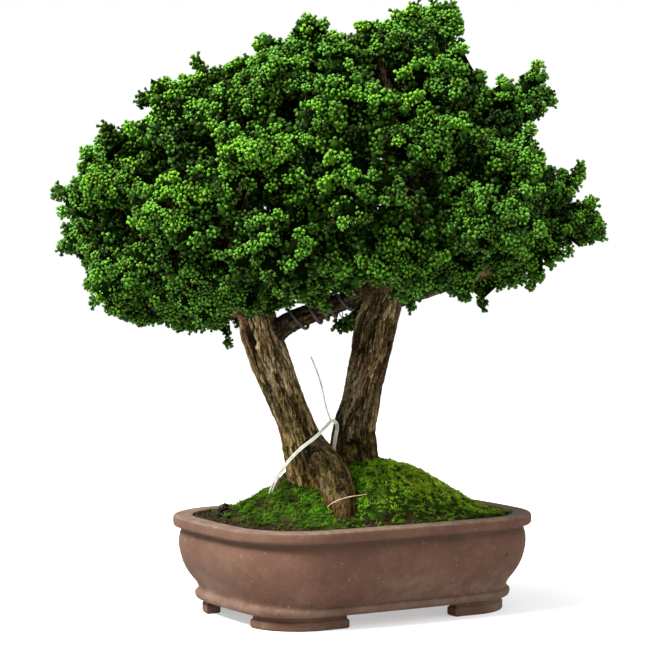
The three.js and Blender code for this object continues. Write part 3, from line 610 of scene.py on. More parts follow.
def pot_foot(sign_x, sign_y):
    """A foot that runs round its corner, with softened lower edges."""
    radius = CORNER_RADIUS - FOOT_INSET
    centre = np.array([POT_LENGTH / 2 - FOOT_INSET - radius, POT_WIDTH / 2 - FOOT_INSET - radius])

    def edge(depth):
        reach = radius - depth
        angles = np.linspace(math.pi / 2, math.asin((FOOT_END_Y - centre[1]) / reach), FOOT_ARC_POINTS)
        arc = centre + reach * np.stack([np.cos(angles), np.sin(angles)], -1)
        start = (FOOT_END_X, centre[1] + reach)
        straight = np.linspace(start, arc[0], FOOT_SIDE_POINTS, endpoint=False)
        return np.vstack([straight, arc])

    rings = []
    for height, softening in FOOT_MOULDING:
        outer, inner = edge(softening), edge(FOOT_THICKNESS - softening)
        for line in (outer, inner):
            line[0] += (line[1] - line[0]) / np.linalg.norm(line[1] - line[0]) * softening
            line[-1] += (line[-2] - line[-1]) / np.linalg.norm(line[-2] - line[-1]) * softening
        plan = np.vstack([outer, inner[::-1]]) * (sign_x, sign_y)
        rings.append(on_pot(plan[:: -sign_x * sign_y], height))
    return foot_skin(np.array(rings))


def foot_skin(rings):
    """The skin of a bent bar: its ends are closed by strips between its outer and inner edge."""
    count, sides = rings.shape[:2]
    points, triangles = skin(rings)
    walls = triangles[: 2 * (count - 1) * sides]
    k = np.arange(sides // 2 - 1)
    across = sides - 1 - k
    low = np.vstack([np.stack([k, across, k + 1], -1), np.stack([k + 1, across, across - 1], -1)])
    high = low[:, ::-1] + (count - 1) * sides
    return points[:-2], np.vstack([walls, low, high])


def drill(pot, side):
    """Cuts one drain hole."""
    place = POT_MIDDLE.x + side * DRAIN_X * MM
    spine = [(place, POT_MIDDLE.y, height * MM) for height in DRILL_REACH]
    points, triangles, _ = tube(spine, (DRAIN_RADIUS, DRAIN_RADIUS), DRAIN_SIDES, 2)
    bit = make_piece("drill", points, triangles, pot.data.materials[0])
    cut = pot.modifiers.new("drain", "BOOLEAN")
    cut.operation = "DIFFERENCE"
    cut.solver = "EXACT"
    cut.object = bit
    bpy.context.view_layer.update()
    finished = pot.evaluated_get(bpy.context.evaluated_depsgraph_get())
    pot.data = bpy.data.meshes.new_from_object(finished)
    pot.modifiers.clear()
    bpy.data.objects.remove(bit)


def make_pot():
    section = UNDERSIDE + BEAD + BELLY + RIM + INSIDE
    rings = np.array([on_pot(pot_outline(inset), height) for inset, height in section])
    shapes = [skin(rings)] + [pot_foot(x, y) for x, y in ((1, 1), (-1, 1), (-1, -1), (1, -1))]
    points, triangles, _ = joined([(points, triangles, points) for points, triangles in shapes])
    pot = make_piece("clay_pot", points, triangles, clay_material())
    for side in (-1, 1):
        drill(pot, side)
    smooth_by_angle(pot, CREASE)
    finish_piece(pot, "clay", "pot")


def smooth_by_angle(piece, degrees):
    """Smooth shading, with a crease wherever two faces meet at more than an angle."""
    mesh = piece.data
    mesh.polygons.foreach_set("use_smooth", np.full(len(mesh.polygons), True))
    mesh.set_sharp_from_angle(angle=math.radians(degrees))


# ---------------------------------------------------------------- ground
# All in millimetres. Plan points are on the pot's own plan; a rim share is how far such a point lies
# from the middle, as a share of the way to the soil's edge.
SOIL_EDGE = 88
MOUND_HEIGHT = 53
MOUND_TOP = (22, 12)  # to the right and back, on the tree's axes
MOUND_SPREAD = {"left": 118, "right": 82, "front": 100, "back": 88}
MOUND_FALLOFF = 2.2
# Where the ground lies higher or lower than the mound's plain form: how far right and back on the
# tree's axes, how wide on each, and by how much.
SWELLS = [((-64, -40), (24, 24), 12.0), ((-110, 5), (22, 45), -5.0)]
RIM_GROUND = 91.5  # the ground's height along the rim
SETTLING = (0.68, 1.0)  # the rim shares between which the ground comes down to it
SOIL_INSET = 19.95  # from the rim's outer edge
SOIL_SINK = 1.6  # how far the soil's top lies below the carpet's own ground
EDGE_SINK = 3.5  # and how much further at the rim
MOSS_THICKNESS = 2.6
CARPET_DEPTH = 7
CARPET_UNDERSIDE = 22  # rings of points under it
CARPET_GAP = 0.4  # between the carpet and the pot's wall
MOSS_TUFTS = 4100
TUFT_SHOOTS = 6
SHOOT_LENGTH = (2.1, 3.9)


def tree_axes(plan):
    """How far right and back from the tree's front points of the pot's own plan lie."""
    x, y = plan[..., 0], plan[..., 1]
    right = x * math.cos(TREE_TURN) - y * math.sin(TREE_TURN)
    back = x * math.sin(TREE_TURN) + y * math.cos(TREE_TURN)
    return right, back


def ground_height(plan):
    """Height of the solid soil's mound."""
    right, back = tree_axes(plan)
    right, back = right - MOUND_TOP[0], back - MOUND_TOP[1]
    side_spread = np.where(right < 0, MOUND_SPREAD["left"], MOUND_SPREAD["right"])
    depth_spread = np.where(back < 0, MOUND_SPREAD["front"], MOUND_SPREAD["back"])
    away = np.hypot(right / side_spread, back / depth_spread)
    return SOIL_EDGE + MOUND_HEIGHT * np.exp(-(away**MOUND_FALLOFF))


def settled_height(plan, rim_share):
    """Height of the ground with its swells, once it has settled to the rim's level at the edge."""
    height = ground_height(plan)
    settled = smooth_step(*SETTLING, rim_share)
    right, back = tree_axes(plan)
    swell = 0
    for middle, width, rise in SWELLS:
        away = ((right - middle[0]) / width[0]) ** 2 + ((back - middle[1]) / width[1]) ** 2
        swell = swell + rise * np.exp(-away)
    return height - settled * np.maximum(height - RIM_GROUND, 0) + (1 - settled) * swell


def flat_noise(plan, size, seed):
    """Smooth noise over the plan, with lumps of about a size in millimetres."""
    return soft_noise(np.concatenate([plan / size, np.full((*plan.shape[:-1], 1), 0.5)], -1), seed)


def moss_cover(plan, rim_share):
    """How thickly the moss grows, from 0 on bare soil to 1: thinner along the rim and at the front left."""
    right, back = tree_axes(plan)
    patchy = 0.2 * flat_noise(plan, 13, 3) + 0.42 * flat_noise(plan, 6.2, 4)
    patchy = patchy + 0.38 * flat_noise(plan, 3.1, 8)
    near_rim = smooth_step(0.72, 0.95, rim_share)
    front_left = smooth_step(0, -80, right) * smooth_step(60, -20, back)
    bareness = -0.48 + 0.44 * near_rim + front_left * (0.38 - 0.02 * near_rim)
    return smooth_step(bareness - 0.06, bareness + 0.10, patchy)


def moss_top(plan, rim_share):
    """Height of the carpet's skin: on bare patches it is the crumbly soil itself."""
    cover = moss_cover(plan, rim_share)
    hummock = 1.5 * flat_noise(plan, 11, 5) + 0.9 * flat_noise(plan, 4.6, 6)
    clods = 0.5 * flat_noise(plan, 4.4, 13) + 0.4 * flat_noise(plan, 2.3, 7)
    edge = 1 - 0.5 * smooth_step(0.9, 1.0, rim_share)
    return settled_height(plan, rim_share) + 0.3 + clods + cover * edge * (MOSS_THICKNESS - 0.3 + hummock)


def rim_share_of(plan):
    edge = pot_outline(SOIL_INSET)
    edge_angle = np.arctan2(edge[:, 1], edge[:, 0])
    order = np.argsort(edge_angle)
    angle = np.arctan2(plan[..., 1], plan[..., 0])
    reach = np.interp(angle, edge_angle[order], np.hypot(*edge.T)[order], period=2 * math.pi)
    return np.hypot(plan[..., 0], plan[..., 1]) / reach


def moss_shoots(bases, directions, lengths, own, dry, depth, painted_shade_factor):
    """Tiny pointed shoots, each a slim closed wedge, dark at its foot as painted shade and bright at its tip,
    partly a painted highlight, and their tones; dimness darkens the tips as painted shade.
    """
    count = len(bases)
    across, beyond = frames_along(directions)
    angles = random.uniform(0, 2 * math.pi, count)[:, None] + np.arange(3) * 2 * math.pi / 3
    radial = across[:, None] * np.cos(angles)[..., None] + beyond[:, None] * np.sin(angles)[..., None]
    base = bases[:, None] + radial * (0.19 * lengths)[:, None, None]
    tip = bases + directions * lengths[:, None]
    points = np.concatenate([base, tip[:, None]], 1)
    pattern = np.array([(0, 1, 3), (1, 2, 3), (2, 0, 3), (0, 2, 1)])
    triangles = (np.arange(count) * 4)[:, None, None] + pattern
    tones = np.zeros((count, 4, 3))
    tones[..., 0] = depth[:, None]
    tones[:, 3, 0] = (0.7 + depth) * painted_shade_factor
    tones[..., 1] = own[:, None]
    tones[..., 2] = dry[:, None]
    return points.reshape(-1, 3), triangles.reshape(-1, 3), tones.reshape(-1, 3)


def moss_carpet():
    """The carpet's closed skin, finer along the rim, where one looks along it."""
    outline = pot_outline(SOIL_INSET + CARPET_GAP)
    shares = np.concatenate([np.linspace(0.04, 0.8, 54), np.linspace(0.81, 1.0, 22)])
    plan = shares[:, None, None] * outline[None]
    rim_share = np.broadcast_to(shares[:, None], plan.shape[:-1])
    top = on_pot(plan, moss_top(plan, rim_share))
    under_shares = np.linspace(0.04, 1, CARPET_UNDERSIDE)[:, None]
    bottom_plan = under_shares[..., None] * outline[None]
    bottom = on_pot(bottom_plan, settled_height(bottom_plan, under_shares) - CARPET_DEPTH)
    points, triangles = skin(np.concatenate([bottom, top[::-1]]))
    tones = np.tile([0.2, 0.0, 1.0], (len(points), 1))
    cover = moss_cover(plan, rim_share)[::-1].reshape(-1)
    first = CARPET_UNDERSIDE * len(outline)
    tones[first : first + len(cover), 2] = 1 - 0.75 * cover
    # Painted shade: the carpet's skin is darker where thick moss stands over it.
    tones[first : first + len(cover), 0] = 0.24 - 0.08 * cover
    return points, triangles, tones


def tuft_places():
    """Where tufts grow on the plan, with their rim shares."""
    reach = (POT_LENGTH / 2 - SOIL_INSET, POT_WIDTH / 2 - SOIL_INSET)
    spots = random.uniform(-1, 1, (int(MOSS_TUFTS * 3.2), 2)) * reach
    share = rim_share_of(spots)
    kept = (share < 0.985) & (moss_cover(spots, share) > random.uniform(0.05, 0.95, len(spots)))
    return spots[kept][:MOSS_TUFTS], share[kept][:MOSS_TUFTS]


def moss_tufts():
    """Tufts, bright on the right, browner along the rim and on the left, with painted shade at the front left.
    """
    spots, share = tuft_places()
    count = len(spots)
    step = 0.8
    height = moss_top(spots, share)
    slope_x = (moss_top(spots + (step, 0), share) - height) / step
    slope_y = (moss_top(spots + (0, step), share) - height) / step
    normals = unit(np.stack([-0.7 * slope_x, -0.7 * slope_y, np.ones_like(height)], -1))
    normals = unit(normals + random.normal(0, 0.22, (count, 3)))
    across, beyond = frames_along(normals)
    clump = 0.5 + 0.5 * flat_noise(spots, 4.2, 10)
    size = random.uniform(0.75, 1.25, count) * (0.9 + 0.5 * clump)
    size = size * (1 - 0.25 * smooth_step(0.85, 0.98, share))
    right, back = tree_axes(spots)
    bright = 0.12 + 0.6 * smooth_step(-30, 60, right) + 0.45 * (clump - 0.5)
    bright = bright + 0.3 * flat_noise(spots, 9, 12)
    bright = bright - 0.3 * smooth_step(0.74, 0.93, share) - 0.28 * smooth_step(10, -70, back)
    own = np.clip(bright + random.normal(0, 0.22, count), 0, 1)
    brown = 0.85 * smooth_step(0.70, 0.94, share) + 0.55 * smooth_step(0, -70, right) - 0.3
    brown = brown * random.uniform(0.0, 1.4, count)
    dry = np.clip(brown + (random.random(count) > 0.92) * 0.9, 0, 1)
    # Painted shade: the shoots' tips are darker at the front left.
    painted_shade_factor = 1 - 0.42 * smooth_step(30, -50, right) * smooth_step(70, -10, back)
    centres = on_pot(spots, height + random.uniform(-0.6, 0.3, count))
    parts = []
    for k in range(TUFT_SHOOTS):
        turned = 2 * math.pi * (k + random.uniform(-0.3, 0.3, count)) / (TUFT_SHOOTS - 1)
        lean = 0.15 if k == 0 else 1.0
        outward = across * np.cos(turned)[:, None] + beyond * np.sin(turned)[:, None]
        direction = unit(normals * random.uniform(0.35, 1.0, (count, 1)) + lean * outward)
        length = size * random.uniform(*SHOOT_LENGTH, count) * MM
        tone = np.clip(own + random.normal(0, 0.1, count), 0, 1)
        parts.append(moss_shoots(centres, direction, length, tone, dry, 0.1 + 0.2 * clump, painted_shade_factor))
    return parts


def make_moss():
    points, triangles, tones = joined([moss_carpet(), *moss_tufts()])
    carpet = make_piece("moss_carpet", points, triangles, moss_material(), tones)
    finish_piece(carpet, "moss", "moss")


def make_soil():
    """The soil that fills the pot, its top a little lower than the carpet's own ground."""
    points, triangles = solid_surface("soil")
    plan = (points[:, :2] - (POT_MIDDLE.x, POT_MIDDLE.y)) / MM
    share = rim_share_of(plan)
    ground = ground_height(plan)
    top = points[:, 2] > (ground - 1) * MM
    sink = SOIL_SINK + EDGE_SINK * smooth_step(0.5, 0.95, share)
    sink = sink + ground - settled_height(plan, share)
    points[top, 2] -= sink[top] * MM
    finish_piece(make_piece("soil_bed", points, triangles, soil_paint, smooth=False), "soil", "soil")


CRUMBS = 900
GOLDEN = (1 + 5**0.5) / 2
ICOSAHEDRON = [
    (-1, GOLDEN, 0), (1, GOLDEN, 0), (-1, -GOLDEN, 0), (1, -GOLDEN, 0), (0, -1, GOLDEN), (0, 1, GOLDEN),
    (0, -1, -GOLDEN), (0, 1, -GOLDEN), (GOLDEN, 0, -1), (GOLDEN, 0, 1), (-GOLDEN, 0, -1), (-GOLDEN, 0, 1),
]
ICOSAHEDRON_FACES = [
    (0, 11, 5), (0, 5, 1), (0, 1, 7), (0, 7, 10), (0, 10, 11), (1, 5, 9), (5, 11, 4), (11, 10, 2), (10, 7, 6),
    (7, 1, 8), (3, 9, 4), (3, 4, 2), (3, 2, 6), (3, 6, 8), (3, 8, 9), (4, 9, 5), (2, 4, 11), (6, 2, 10),
    (8, 6, 7), (9, 8, 1),
]
CLOD_LUMPS = 26
CLOD_SPREAD = (4.5, 2.5)
CLOD_RISE = 11
CLOD_PLACE = np.array([-118.0, 46.0])  # a dark clod at the left end, on the pot's own plan


def make_crumbs():
    """Crumbs of soil on the bare patches and along the rim, and the clod, a heap of larger ones."""
    reach = (POT_LENGTH / 2 - SOIL_INSET, POT_WIDTH / 2 - SOIL_INSET)
    spots = random.uniform(-1, 1, (CRUMBS * 6, 2)) * reach
    share = rim_share_of(spots)
    bare = 1 - moss_cover(spots, share)
    likely = bare + 0.5 * smooth_step(0.88, 0.97, share)
    kept = (share < 0.985) & (likely > random.uniform(0.3, 1.0, len(spots)))
    spots = spots[kept][:CRUMBS]
    size = random.uniform(0.6, 1.6, len(spots)) ** 1.3
    strewn = random.normal(0, 1, (CLOD_LUMPS, 2))
    stacked = CLOD_RISE * np.exp(-0.4 * (strewn**2).sum(1)) * (np.arange(CLOD_LUMPS) % 4) / 3
    rise = np.append(0.25 * size, 0.8 + stacked)
    spots = np.vstack([spots, CLOD_PLACE + strewn * CLOD_SPREAD])
    size = np.append(size, 1.4 * random.uniform(1.6, 3.2, CLOD_LUMPS))
    centres = on_pot(spots, moss_top(spots, rim_share_of(spots)) + rise)
    corners = unit(np.array(ICOSAHEDRON, float))
    lumps = corners[None] * random.uniform(0.6, 1.15, (len(spots), 12, 1)) * (size * MM)[:, None, None]
    points = centres[:, None] + lumps * random.uniform(0.7, 1.3, (len(spots), 1, 3))
    triangles = (np.arange(len(spots)) * 12)[:, None, None] + np.array(ICOSAHEDRON_FACES)
    points, triangles = points.reshape(-1, 3), triangles.reshape(-1, 3)
    crumbs = make_piece("soil_crumbs", points, triangles, soil_paint, smooth=False)
    finish_piece(crumbs, "soil")


# ---------------------------------------------------------------- wood
def route(*places):
    """Points given as millimetres to the right, back and up, like seen takes them."""
    return [seen(*place) for place in places]


# Each curve with its radii in millimetres, which are spread evenly along it.
LEFT_TRUNK = (
    route((-31, -22, 112), (-39, -25, 135), (-46, -26, 156), (-53, -25, 176), (-64.5, -25, 205),
          (-76, -25, 234), (-86, -24, 262), (-95, -21, 292), (-104, -17, 316)),
    [30, 27, 23.2, 19.4, 17.8, 18.2, 20, 20.5, 17, 11],
)
RIGHT_TRUNK = (
    route((-5, 14, 112), (0, 20, 138), (1, 22, 158), (2, 22, 177), (8, 22, 200), (12, 22, 222),
          (17, 22, 245), (21, 21, 268), (30, 20, 296), (41, 19, 322)),
    [30, 27, 24, 21.5, 19.4, 18.6, 18.8, 19.6, 20.8, 19, 11.5],
)
LEFT_LEADER = (
    route((-92, -22, 284), (-110, -14, 325), (-112, -6, 375), (-96, 0, 425), (-78, 0, 462)),
    [16.5, 13, 9.5, 6.5, 3],
)
RIGHT_LEADER = (
    route((29, 20, 290), (47, 18, 330), (58, 10, 380), (48, 5, 440), (34, 2, 500), (20, 0, 550)),
    [16, 13, 10.5, 8, 5.5, 2.6],
)
WIRED_LIMB = (
    route((-84, -25, 262), (-58, -31, 281), (-32, -34, 291), (-4, -36, 302), (24, -42, 322),
          (58, -66, 346)),
    [11.5, 9.4, 8.4, 7.4, 6, 3.4],
)
LIMBS = [
    (route((-94, -20, 290), (-138, -22, 300), (-186, -8, 322)), [11, 7.5, 3.6]),
    (route((-92, -22, 286), (-118, -66, 300), (-132, -112, 322)), [9, 6.5, 3.2]),
    (route((-98, -16, 300), (-128, 52, 316), (-146, 102, 336)), [9, 6.5, 3.2]),
    (route((28, 20, 298), (78, 18, 313), (132, 12, 329), (176, 4, 350)), [11.5, 9, 6.5, 3.4]),
    (route((40, 16, 314), (92, -38, 330), (124, -92, 348)), [9, 6.5, 3.2]),
    (route((36, 22, 304), (66, 78, 318), (82, 126, 344)), [9, 6.5, 3.2]),
    (route((32, 22, 298), (-16, 78, 314), (-44, 124, 340)), [8.5, 6, 3.2]),
]
FRONT_ROOT = (
    route((-44, -28, 160), (-31, -36, 146), (-19.5, -52, 133), (-13.5, -69, 117), (-10.5, -85, 103),
          (-9, -91, 74)),
    [19, 18, 17, 16.2, 15, 13],
)
# The solid's own root reaches further forward; its end is drawn into the finer root.
SOLID_ROOT_END = (route((-8.5, -71, 117), (-4, -91, 103), (-2, -101, 77)), [17, 17, 17])
ROOT_END_REACH = 9 * MM
SIDE_ROOTS = [
    (route((-46, -20, 132), (-68, -18, 113), (-86, -14, 100)), [17, 13, 7]),
    (route((6, 24, 142), (26, 26, 128), (46, 34, 112)), [16, 12.5, 7]),
]
BARK_REACH = 2.6 * MM  # the solid's points this near to a finer limb are drawn in under it
DRAWN_IN = 0.72  # and then stay within this share of where they were, or 0.7 of the limb's radius
LICHEN_REACH = 62  # millimetres from a trunk's foot
# The solid's twigs are kept dark, as painted shade inside the crown.
TWIG_SHADE_TONES = [0.35, 0.2, 0.0]


def edge_distance(across):
    """How far numbers lie from the nearest whole number."""
    share = across - np.floor(across)
    return np.minimum(share, 1 - share)


def bark(depth, strips, length, seed, lichen=0.0, shade=1.0):
    """A relief of long strips of bark that lift at their lower ends, with cracks between them.

    Depth and length are in millimetres, strips is how many stand side by side round the tube, and shade, from 0
    to 1, darkens the wood, as painted shade on the right trunk and on the limbs under the crown. Its tones are
    the painted light and shade on the bark, darker in its cracks and splits and paler where plates lift, that
    shade and the lichen.
    """

    def relief(travelled, angle, radius):
        x, y = np.cos(angle) * radius, np.sin(angle) * radius
        z = travelled * np.ones_like(angle)
        place = np.stack([x, y, z], -1) / MM

        def noise(width, height, step):
            """Soft noise whose lumps have this width and height in millimetres."""
            return soft_noise(place / (width, width, height), seed + step)

        # Narrow strips, which sway as they rise.
        sway = noise(15, 48, 0) + 0.4 * noise(5, 13, 1)
        ragged = 0.30 * noise(2.2, 3.4, 8)
        turned = angle / (2 * math.pi)
        across = turned * strips + 1.2 * sway + ragged
        own = np.mod(np.floor(across), strips)
        # Each strip is broken into parts of its own length.
        own_length = length * (0.5 + 0.9 * mixed_up(own, seed=seed))
        down = place[..., 2] / own_length + 7 * mixed_up(own, seed=seed + 1)
        down = down + 0.22 * noise(2.4, 9, 2)
        part = np.floor(down)
        share = down - part
        # Cracks between the strips, open only here and there, and between the parts.
        open_crack = smooth_step(-0.6, 0.2, noise(6, 24, 3))
        crack = 1 - (1 - smooth_step(0.0, 0.22, edge_distance(across))) * open_crack
        crack = np.minimum(crack, smooth_step(0.0, 0.07, share))
        # Deeper splits between plates that are some strips wide.
        plates = turned * round(strips / 3.4) + 0.9 * noise(11, 60, 10)
        plates = plates + 0.12 * ragged
        open_split = smooth_step(-0.35, 0.15, noise(9, 40, 11))
        split = 1 - (1 - smooth_step(0.0, 0.085, edge_distance(plates))) * open_split
        lift = mixed_up(own, part, seed=seed + 4) * 0.8 + 0.5 * (1 - share) ** 2
        fibres, rough, lump = noise(1.1, 9, 5), noise(1.5, 2.6, 9), noise(13, 26, 6)
        steps = 1.1 * (crack - 0.7) + 0.9 * (split - 0.8) + 0.7 * (lift - 0.6)
        rise = depth * (steps + 0.2 * fibres + 0.22 * rough + 0.5 * lump)
        broad = 0.16 * noise(10, 30, 12)
        # Painted light and shade: the tone is darker in the cracks and splits and paler where a plate lifts.
        tone = (0.35 + 0.65 * crack) * (0.2 + 0.8 * split) * (0.56 + broad + 0.4 * (lift - 0.55))
        tone = np.clip(tone + 0.12 * fibres + 0.12 * rough, 0, 1)
        patch = lichen * smooth_step(0.0, 0.45, noise(9, 14, 7))
        patch = patch * smooth_step(LICHEN_REACH, 0.4 * LICHEN_REACH, place[..., 2])
        return rise * MM, np.stack([tone, shade * np.ones_like(tone), patch], -1)

    return relief


def near_curves(points, curves, margin):
    """Which points lie inside the curves' tubes, with the nearest curve points and the radii there."""
    inside = np.zeros(len(points), bool)
    nearest = points.copy()
    room = np.zeros(len(points))
    for spine, radii in curves:
        shares = np.linspace(0, 1, 60)
        centres = curve_points(spine, shares)
        radius = np.interp(shares, np.linspace(0, 1, len(radii)), radii) * MM + margin
        distance = np.linalg.norm(points[:, None] - centres[None], axis=2)
        best = np.argmin(distance - radius, axis=1)
        rows = np.arange(len(points))
        hit = (distance[rows, best] < radius[best]) & ~inside
        nearest[hit] = centres[best[hit]]
        room[hit] = radius[best[hit]] - margin
        inside |= hit
    return inside, nearest, room


def fine_trunk(limb, change, sides, count, relief):
    """A limb with its bark; change is added to its radii, in millimetres, to make room for the bark."""
    spine, radii = limb
    return tube(spine, np.array(radii) + change, sides, count, relief)


def drawn_in(points, rows, limbs, margin):
    """Moves those of a solid's points that lie near finer limbs in under their bark, out of sight."""
    covered, centres, room = near_curves(points[rows], limbs, margin)
    away = (points[rows] - centres)[covered]
    most = 0.7 * room[covered] / np.maximum(np.linalg.norm(away, axis=1), 0.1 * MM)
    points[rows[covered]] = centres[covered] + np.minimum(DRAWN_IN, most)[:, None] * away


def make_wood():
    """The limbs with their bark; the twigs are the solid's own."""
    # A bark's last number, where given, is its shade: below 1 it darkens the wood; on the right trunk and on
    # the limbs and leaders under the crown this is painted shade.
    parts = [
        fine_trunk(LEFT_TRUNK, -1.6, 128, 118, bark(1.5, 29, 30, 21, 0.9)),
        fine_trunk(RIGHT_TRUNK, -1.0, 128, 118, bark(1.5, 30, 30, 31, 0.0, 0.5)),
        fine_trunk(FRONT_ROOT, -0.8, 84, 60, bark(1.1, 22, 18, 41, 0.9, 0.26)),
        fine_trunk(LEFT_LEADER, 0, 26, 70, bark(1.0, 9, 22, 51, 0.0, 0.6)),
        fine_trunk(RIGHT_LEADER, 0, 26, 90, bark(1.0, 9, 22, 61, 0.0, 0.45)),
        fine_trunk(WIRED_LIMB, 0, 40, 90, bark(1.5, 9, 14, 71, 0.0, 0.12)),
    ]
    for i, limb in enumerate(LIMBS):
        parts.append(fine_trunk(limb, 0, 18, 40, bark(0.8, 6, 20, 81 + 7 * i, 0.0, 0.45)))
    for i, root in enumerate(SIDE_ROOTS):
        parts.append(fine_trunk(root, 0, 40, 28, bark(1.2, 12, 20, 141 + 7 * i, 0.8, 0.8)))
    limbs = [LEFT_TRUNK, RIGHT_TRUNK, LEFT_LEADER, RIGHT_LEADER, WIRED_LIMB, *LIMBS]
    limbs += [FRONT_ROOT, *SIDE_ROOTS]
    points, triangles = solid_surface("twin_trunk_wood")
    root_end = np.flatnonzero(near_curves(points, [SOLID_ROOT_END], ROOT_END_REACH)[0])
    drawn_in(points, np.arange(len(points)), limbs, BARK_REACH)
    drawn_in(points, root_end, [FRONT_ROOT], 1.0)
    # The solid's own twigs, dark with painted shade.
    parts.append((points, triangles, np.tile(TWIG_SHADE_TONES, (len(points), 1))))
    points, triangles, tones = joined(parts)
    wood = make_piece("barked_wood", points, triangles, bark_material(), tones)
    finish_piece(wood, "bark", "twin_trunk_wood")


# ---------------------------------------------------------------- foliage
FLORET_SPACING = 14.2 * MM
FLORET_ROOT = 5.2 * MM  # how deep a floret starts below its pad's skin
FLORET_REACH = 8.2 * MM
FLORET_NUBS = 15
FLORET_FLATNESS = 0.85
FLORET_OPENING = math.radians(97)  # how far the outermost nubs lean from the floret's axis
INNER_NUBS = 6
NUB_RADIUS = 2.1 * MM
INNER_NUB_RADIUS = 2.6 * MM
HEART_SIZE = 0.64  # of a floret's reach
NUB_START = 0.3  # where a nub starts, as a share of its reach
NUB_SIDES = 3
NUB_RINGS = [(0.80, 1.0)]  # shares of a nub's length, with widths
# A nub is darker towards its foot as painted shade among its neighbours, and paler at its tip partly as a
# painted highlight.
NUB_DEPTHS = (0.0, 0.72, 0.97)  # how bright it is from its foot to its tip
STEM_RADIUS = 0.6 * MM
STEM_RINGS = [(0.1, 1.0), (0.85, 0.7)]
STEM_DEPTHS = (0.2, 0.3, 0.5, 0.5)
# A floret's heart has a low depth tone: painted shade inside the floret.
HEART_SHADE_DEPTH = 0.32
GAP_REACH = (9 * MM, 75 * MM)  # between facing pads
SHOOT_MOST = 18 * MM
CLEFT_LOOKS = 220
CLEFT_VIEW = 0.2  # metres from a pad's middle: from there its clefts are looked into
CLEFT_NEIGHBOURS = math.radians(27)
CLEFT_DEPTH = 7 * MM
# The pad's core is coloured near-black green: painted shade in the gaps between the florets.
PAD_CORE = 0.87  # of the solid pad: the dark heart that the florets stand out of
CORE_SHADE_TONES = [0.06, 0.08, 0.5]
# A floret's light: what all have, and what open ways, open sky and facing upwards add.
LEAST_LIGHT = 0.08
OPEN_LIGHT = 0.42
SKY_LIGHT = 0.95
UPWARD_LIGHT = 0.2
CLEFT_SKY_LIGHT = 0.6
CLEFT_LIGHT_MOST = 0.85
OPEN_LOOKS = 14  # ways in which a floret looks out of the crown
OPEN_ANGLE = math.radians(80)
OPEN_START = 7 * MM
OPEN_REACH = 0.2
BURIED = 0.08  # florets less open than this are mostly left out
BURIED_KEPT = 0.3
SHADED = 0.42  # florets less open than this get fewer, larger nubs
HOLE_VIEWS = 18  # from where holes between the solid sprays are looked for
HOLE_CELL = 4.5 * MM
HOLE_CLOSING = 4  # cells: wider gaps stay open
HOLE_SAMPLES = 16
HOLE_KEPT = 0.06  # share of the holes that stay
FRONT_CELL = 2.2 * MM  # for the finer search from the front, through the finished sprays
FRONT_CLOSING = 7
FRONT_SPACING = 4.5 * MM
# Gaps that stay open: millimetres to the right and up from the front, and their radii.
FRONT_GAPS = [
    (85, 345, 9), (205, 372, 6), (-109, 369, 6), (-68, 353, 6), (-164, 295, 7), (-64, 290, 7),
    (-15, 326, 9),
]
FILLER_SPACING = 9.5 * MM
FILLER_MOST = 50 * MM
# Limbs with shoots below the crown: from which share of their length to which, and how many.
UNDERGROWN = [(LIMBS[3], 0.35, 1.0, 30), (LIMBS[4], 0.4, 0.9, 8), (LIMBS[0], 0.45, 0.9, 10)]
CROWN_HEART = np.array(seen(-20, 0, 400))


def even_directions(count, opening=math.pi):
    """Directions spread evenly over a cap round +X, as far out as its opening angle."""
    k = np.arange(count) + 0.5
    along = 1 - (1 - math.cos(opening)) * k / count
    turn = math.pi * (3 - 5**0.5) * k
    out = np.sqrt(1 - along**2)
    return np.stack([along, out * np.cos(turn), out * np.sin(turn)], -1)


def spread_points(points, triangles, spacing):
    """Points spread over a surface, none nearer to another than a spacing, with the face normals there."""
    a, b, c = (points[triangles[:, k]] for k in range(3))
    crossed = np.cross(b - a, c - a)
    area = np.linalg.norm(crossed, axis=1) / 2
    count = int(area.sum() / spacing**2 * 7)
    face = random.choice(len(area), count, p=area / area.sum())
    u, v = random.random(count), random.random(count)
    over = u + v > 1
    u[over], v[over] = 1 - u[over], 1 - v[over]
    spots = a[face] + u[:, None] * (b - a)[face] + v[:, None] * (c - a)[face]
    normals = unit(crossed)[face]
    # Spots that face different ways count as further apart, so both sides of a thin spray get theirs.
    apart = np.hstack([spots, 0.5 * spacing * normals])
    chosen = []
    taken = np.empty((count, 6))
    for i in range(count):
        here = taken[: len(chosen)]
        if len(chosen) and np.min(np.sum((here - apart[i]) ** 2, axis=1)) < spacing**2:
            continue
        taken[len(chosen)] = apart[i]
        chosen.append(i)
    return spots[chosen], normals[chosen]


def frames_along(along):
    """Two directions across each of the given ones."""
    helper = np.where(np.abs(along[:, 2:3]) > 0.9, [[1.0, 0, 0]], [[0, 0, 1.0]])
    across = unit(np.cross(along, helper))
    return across, np.cross(along, across)


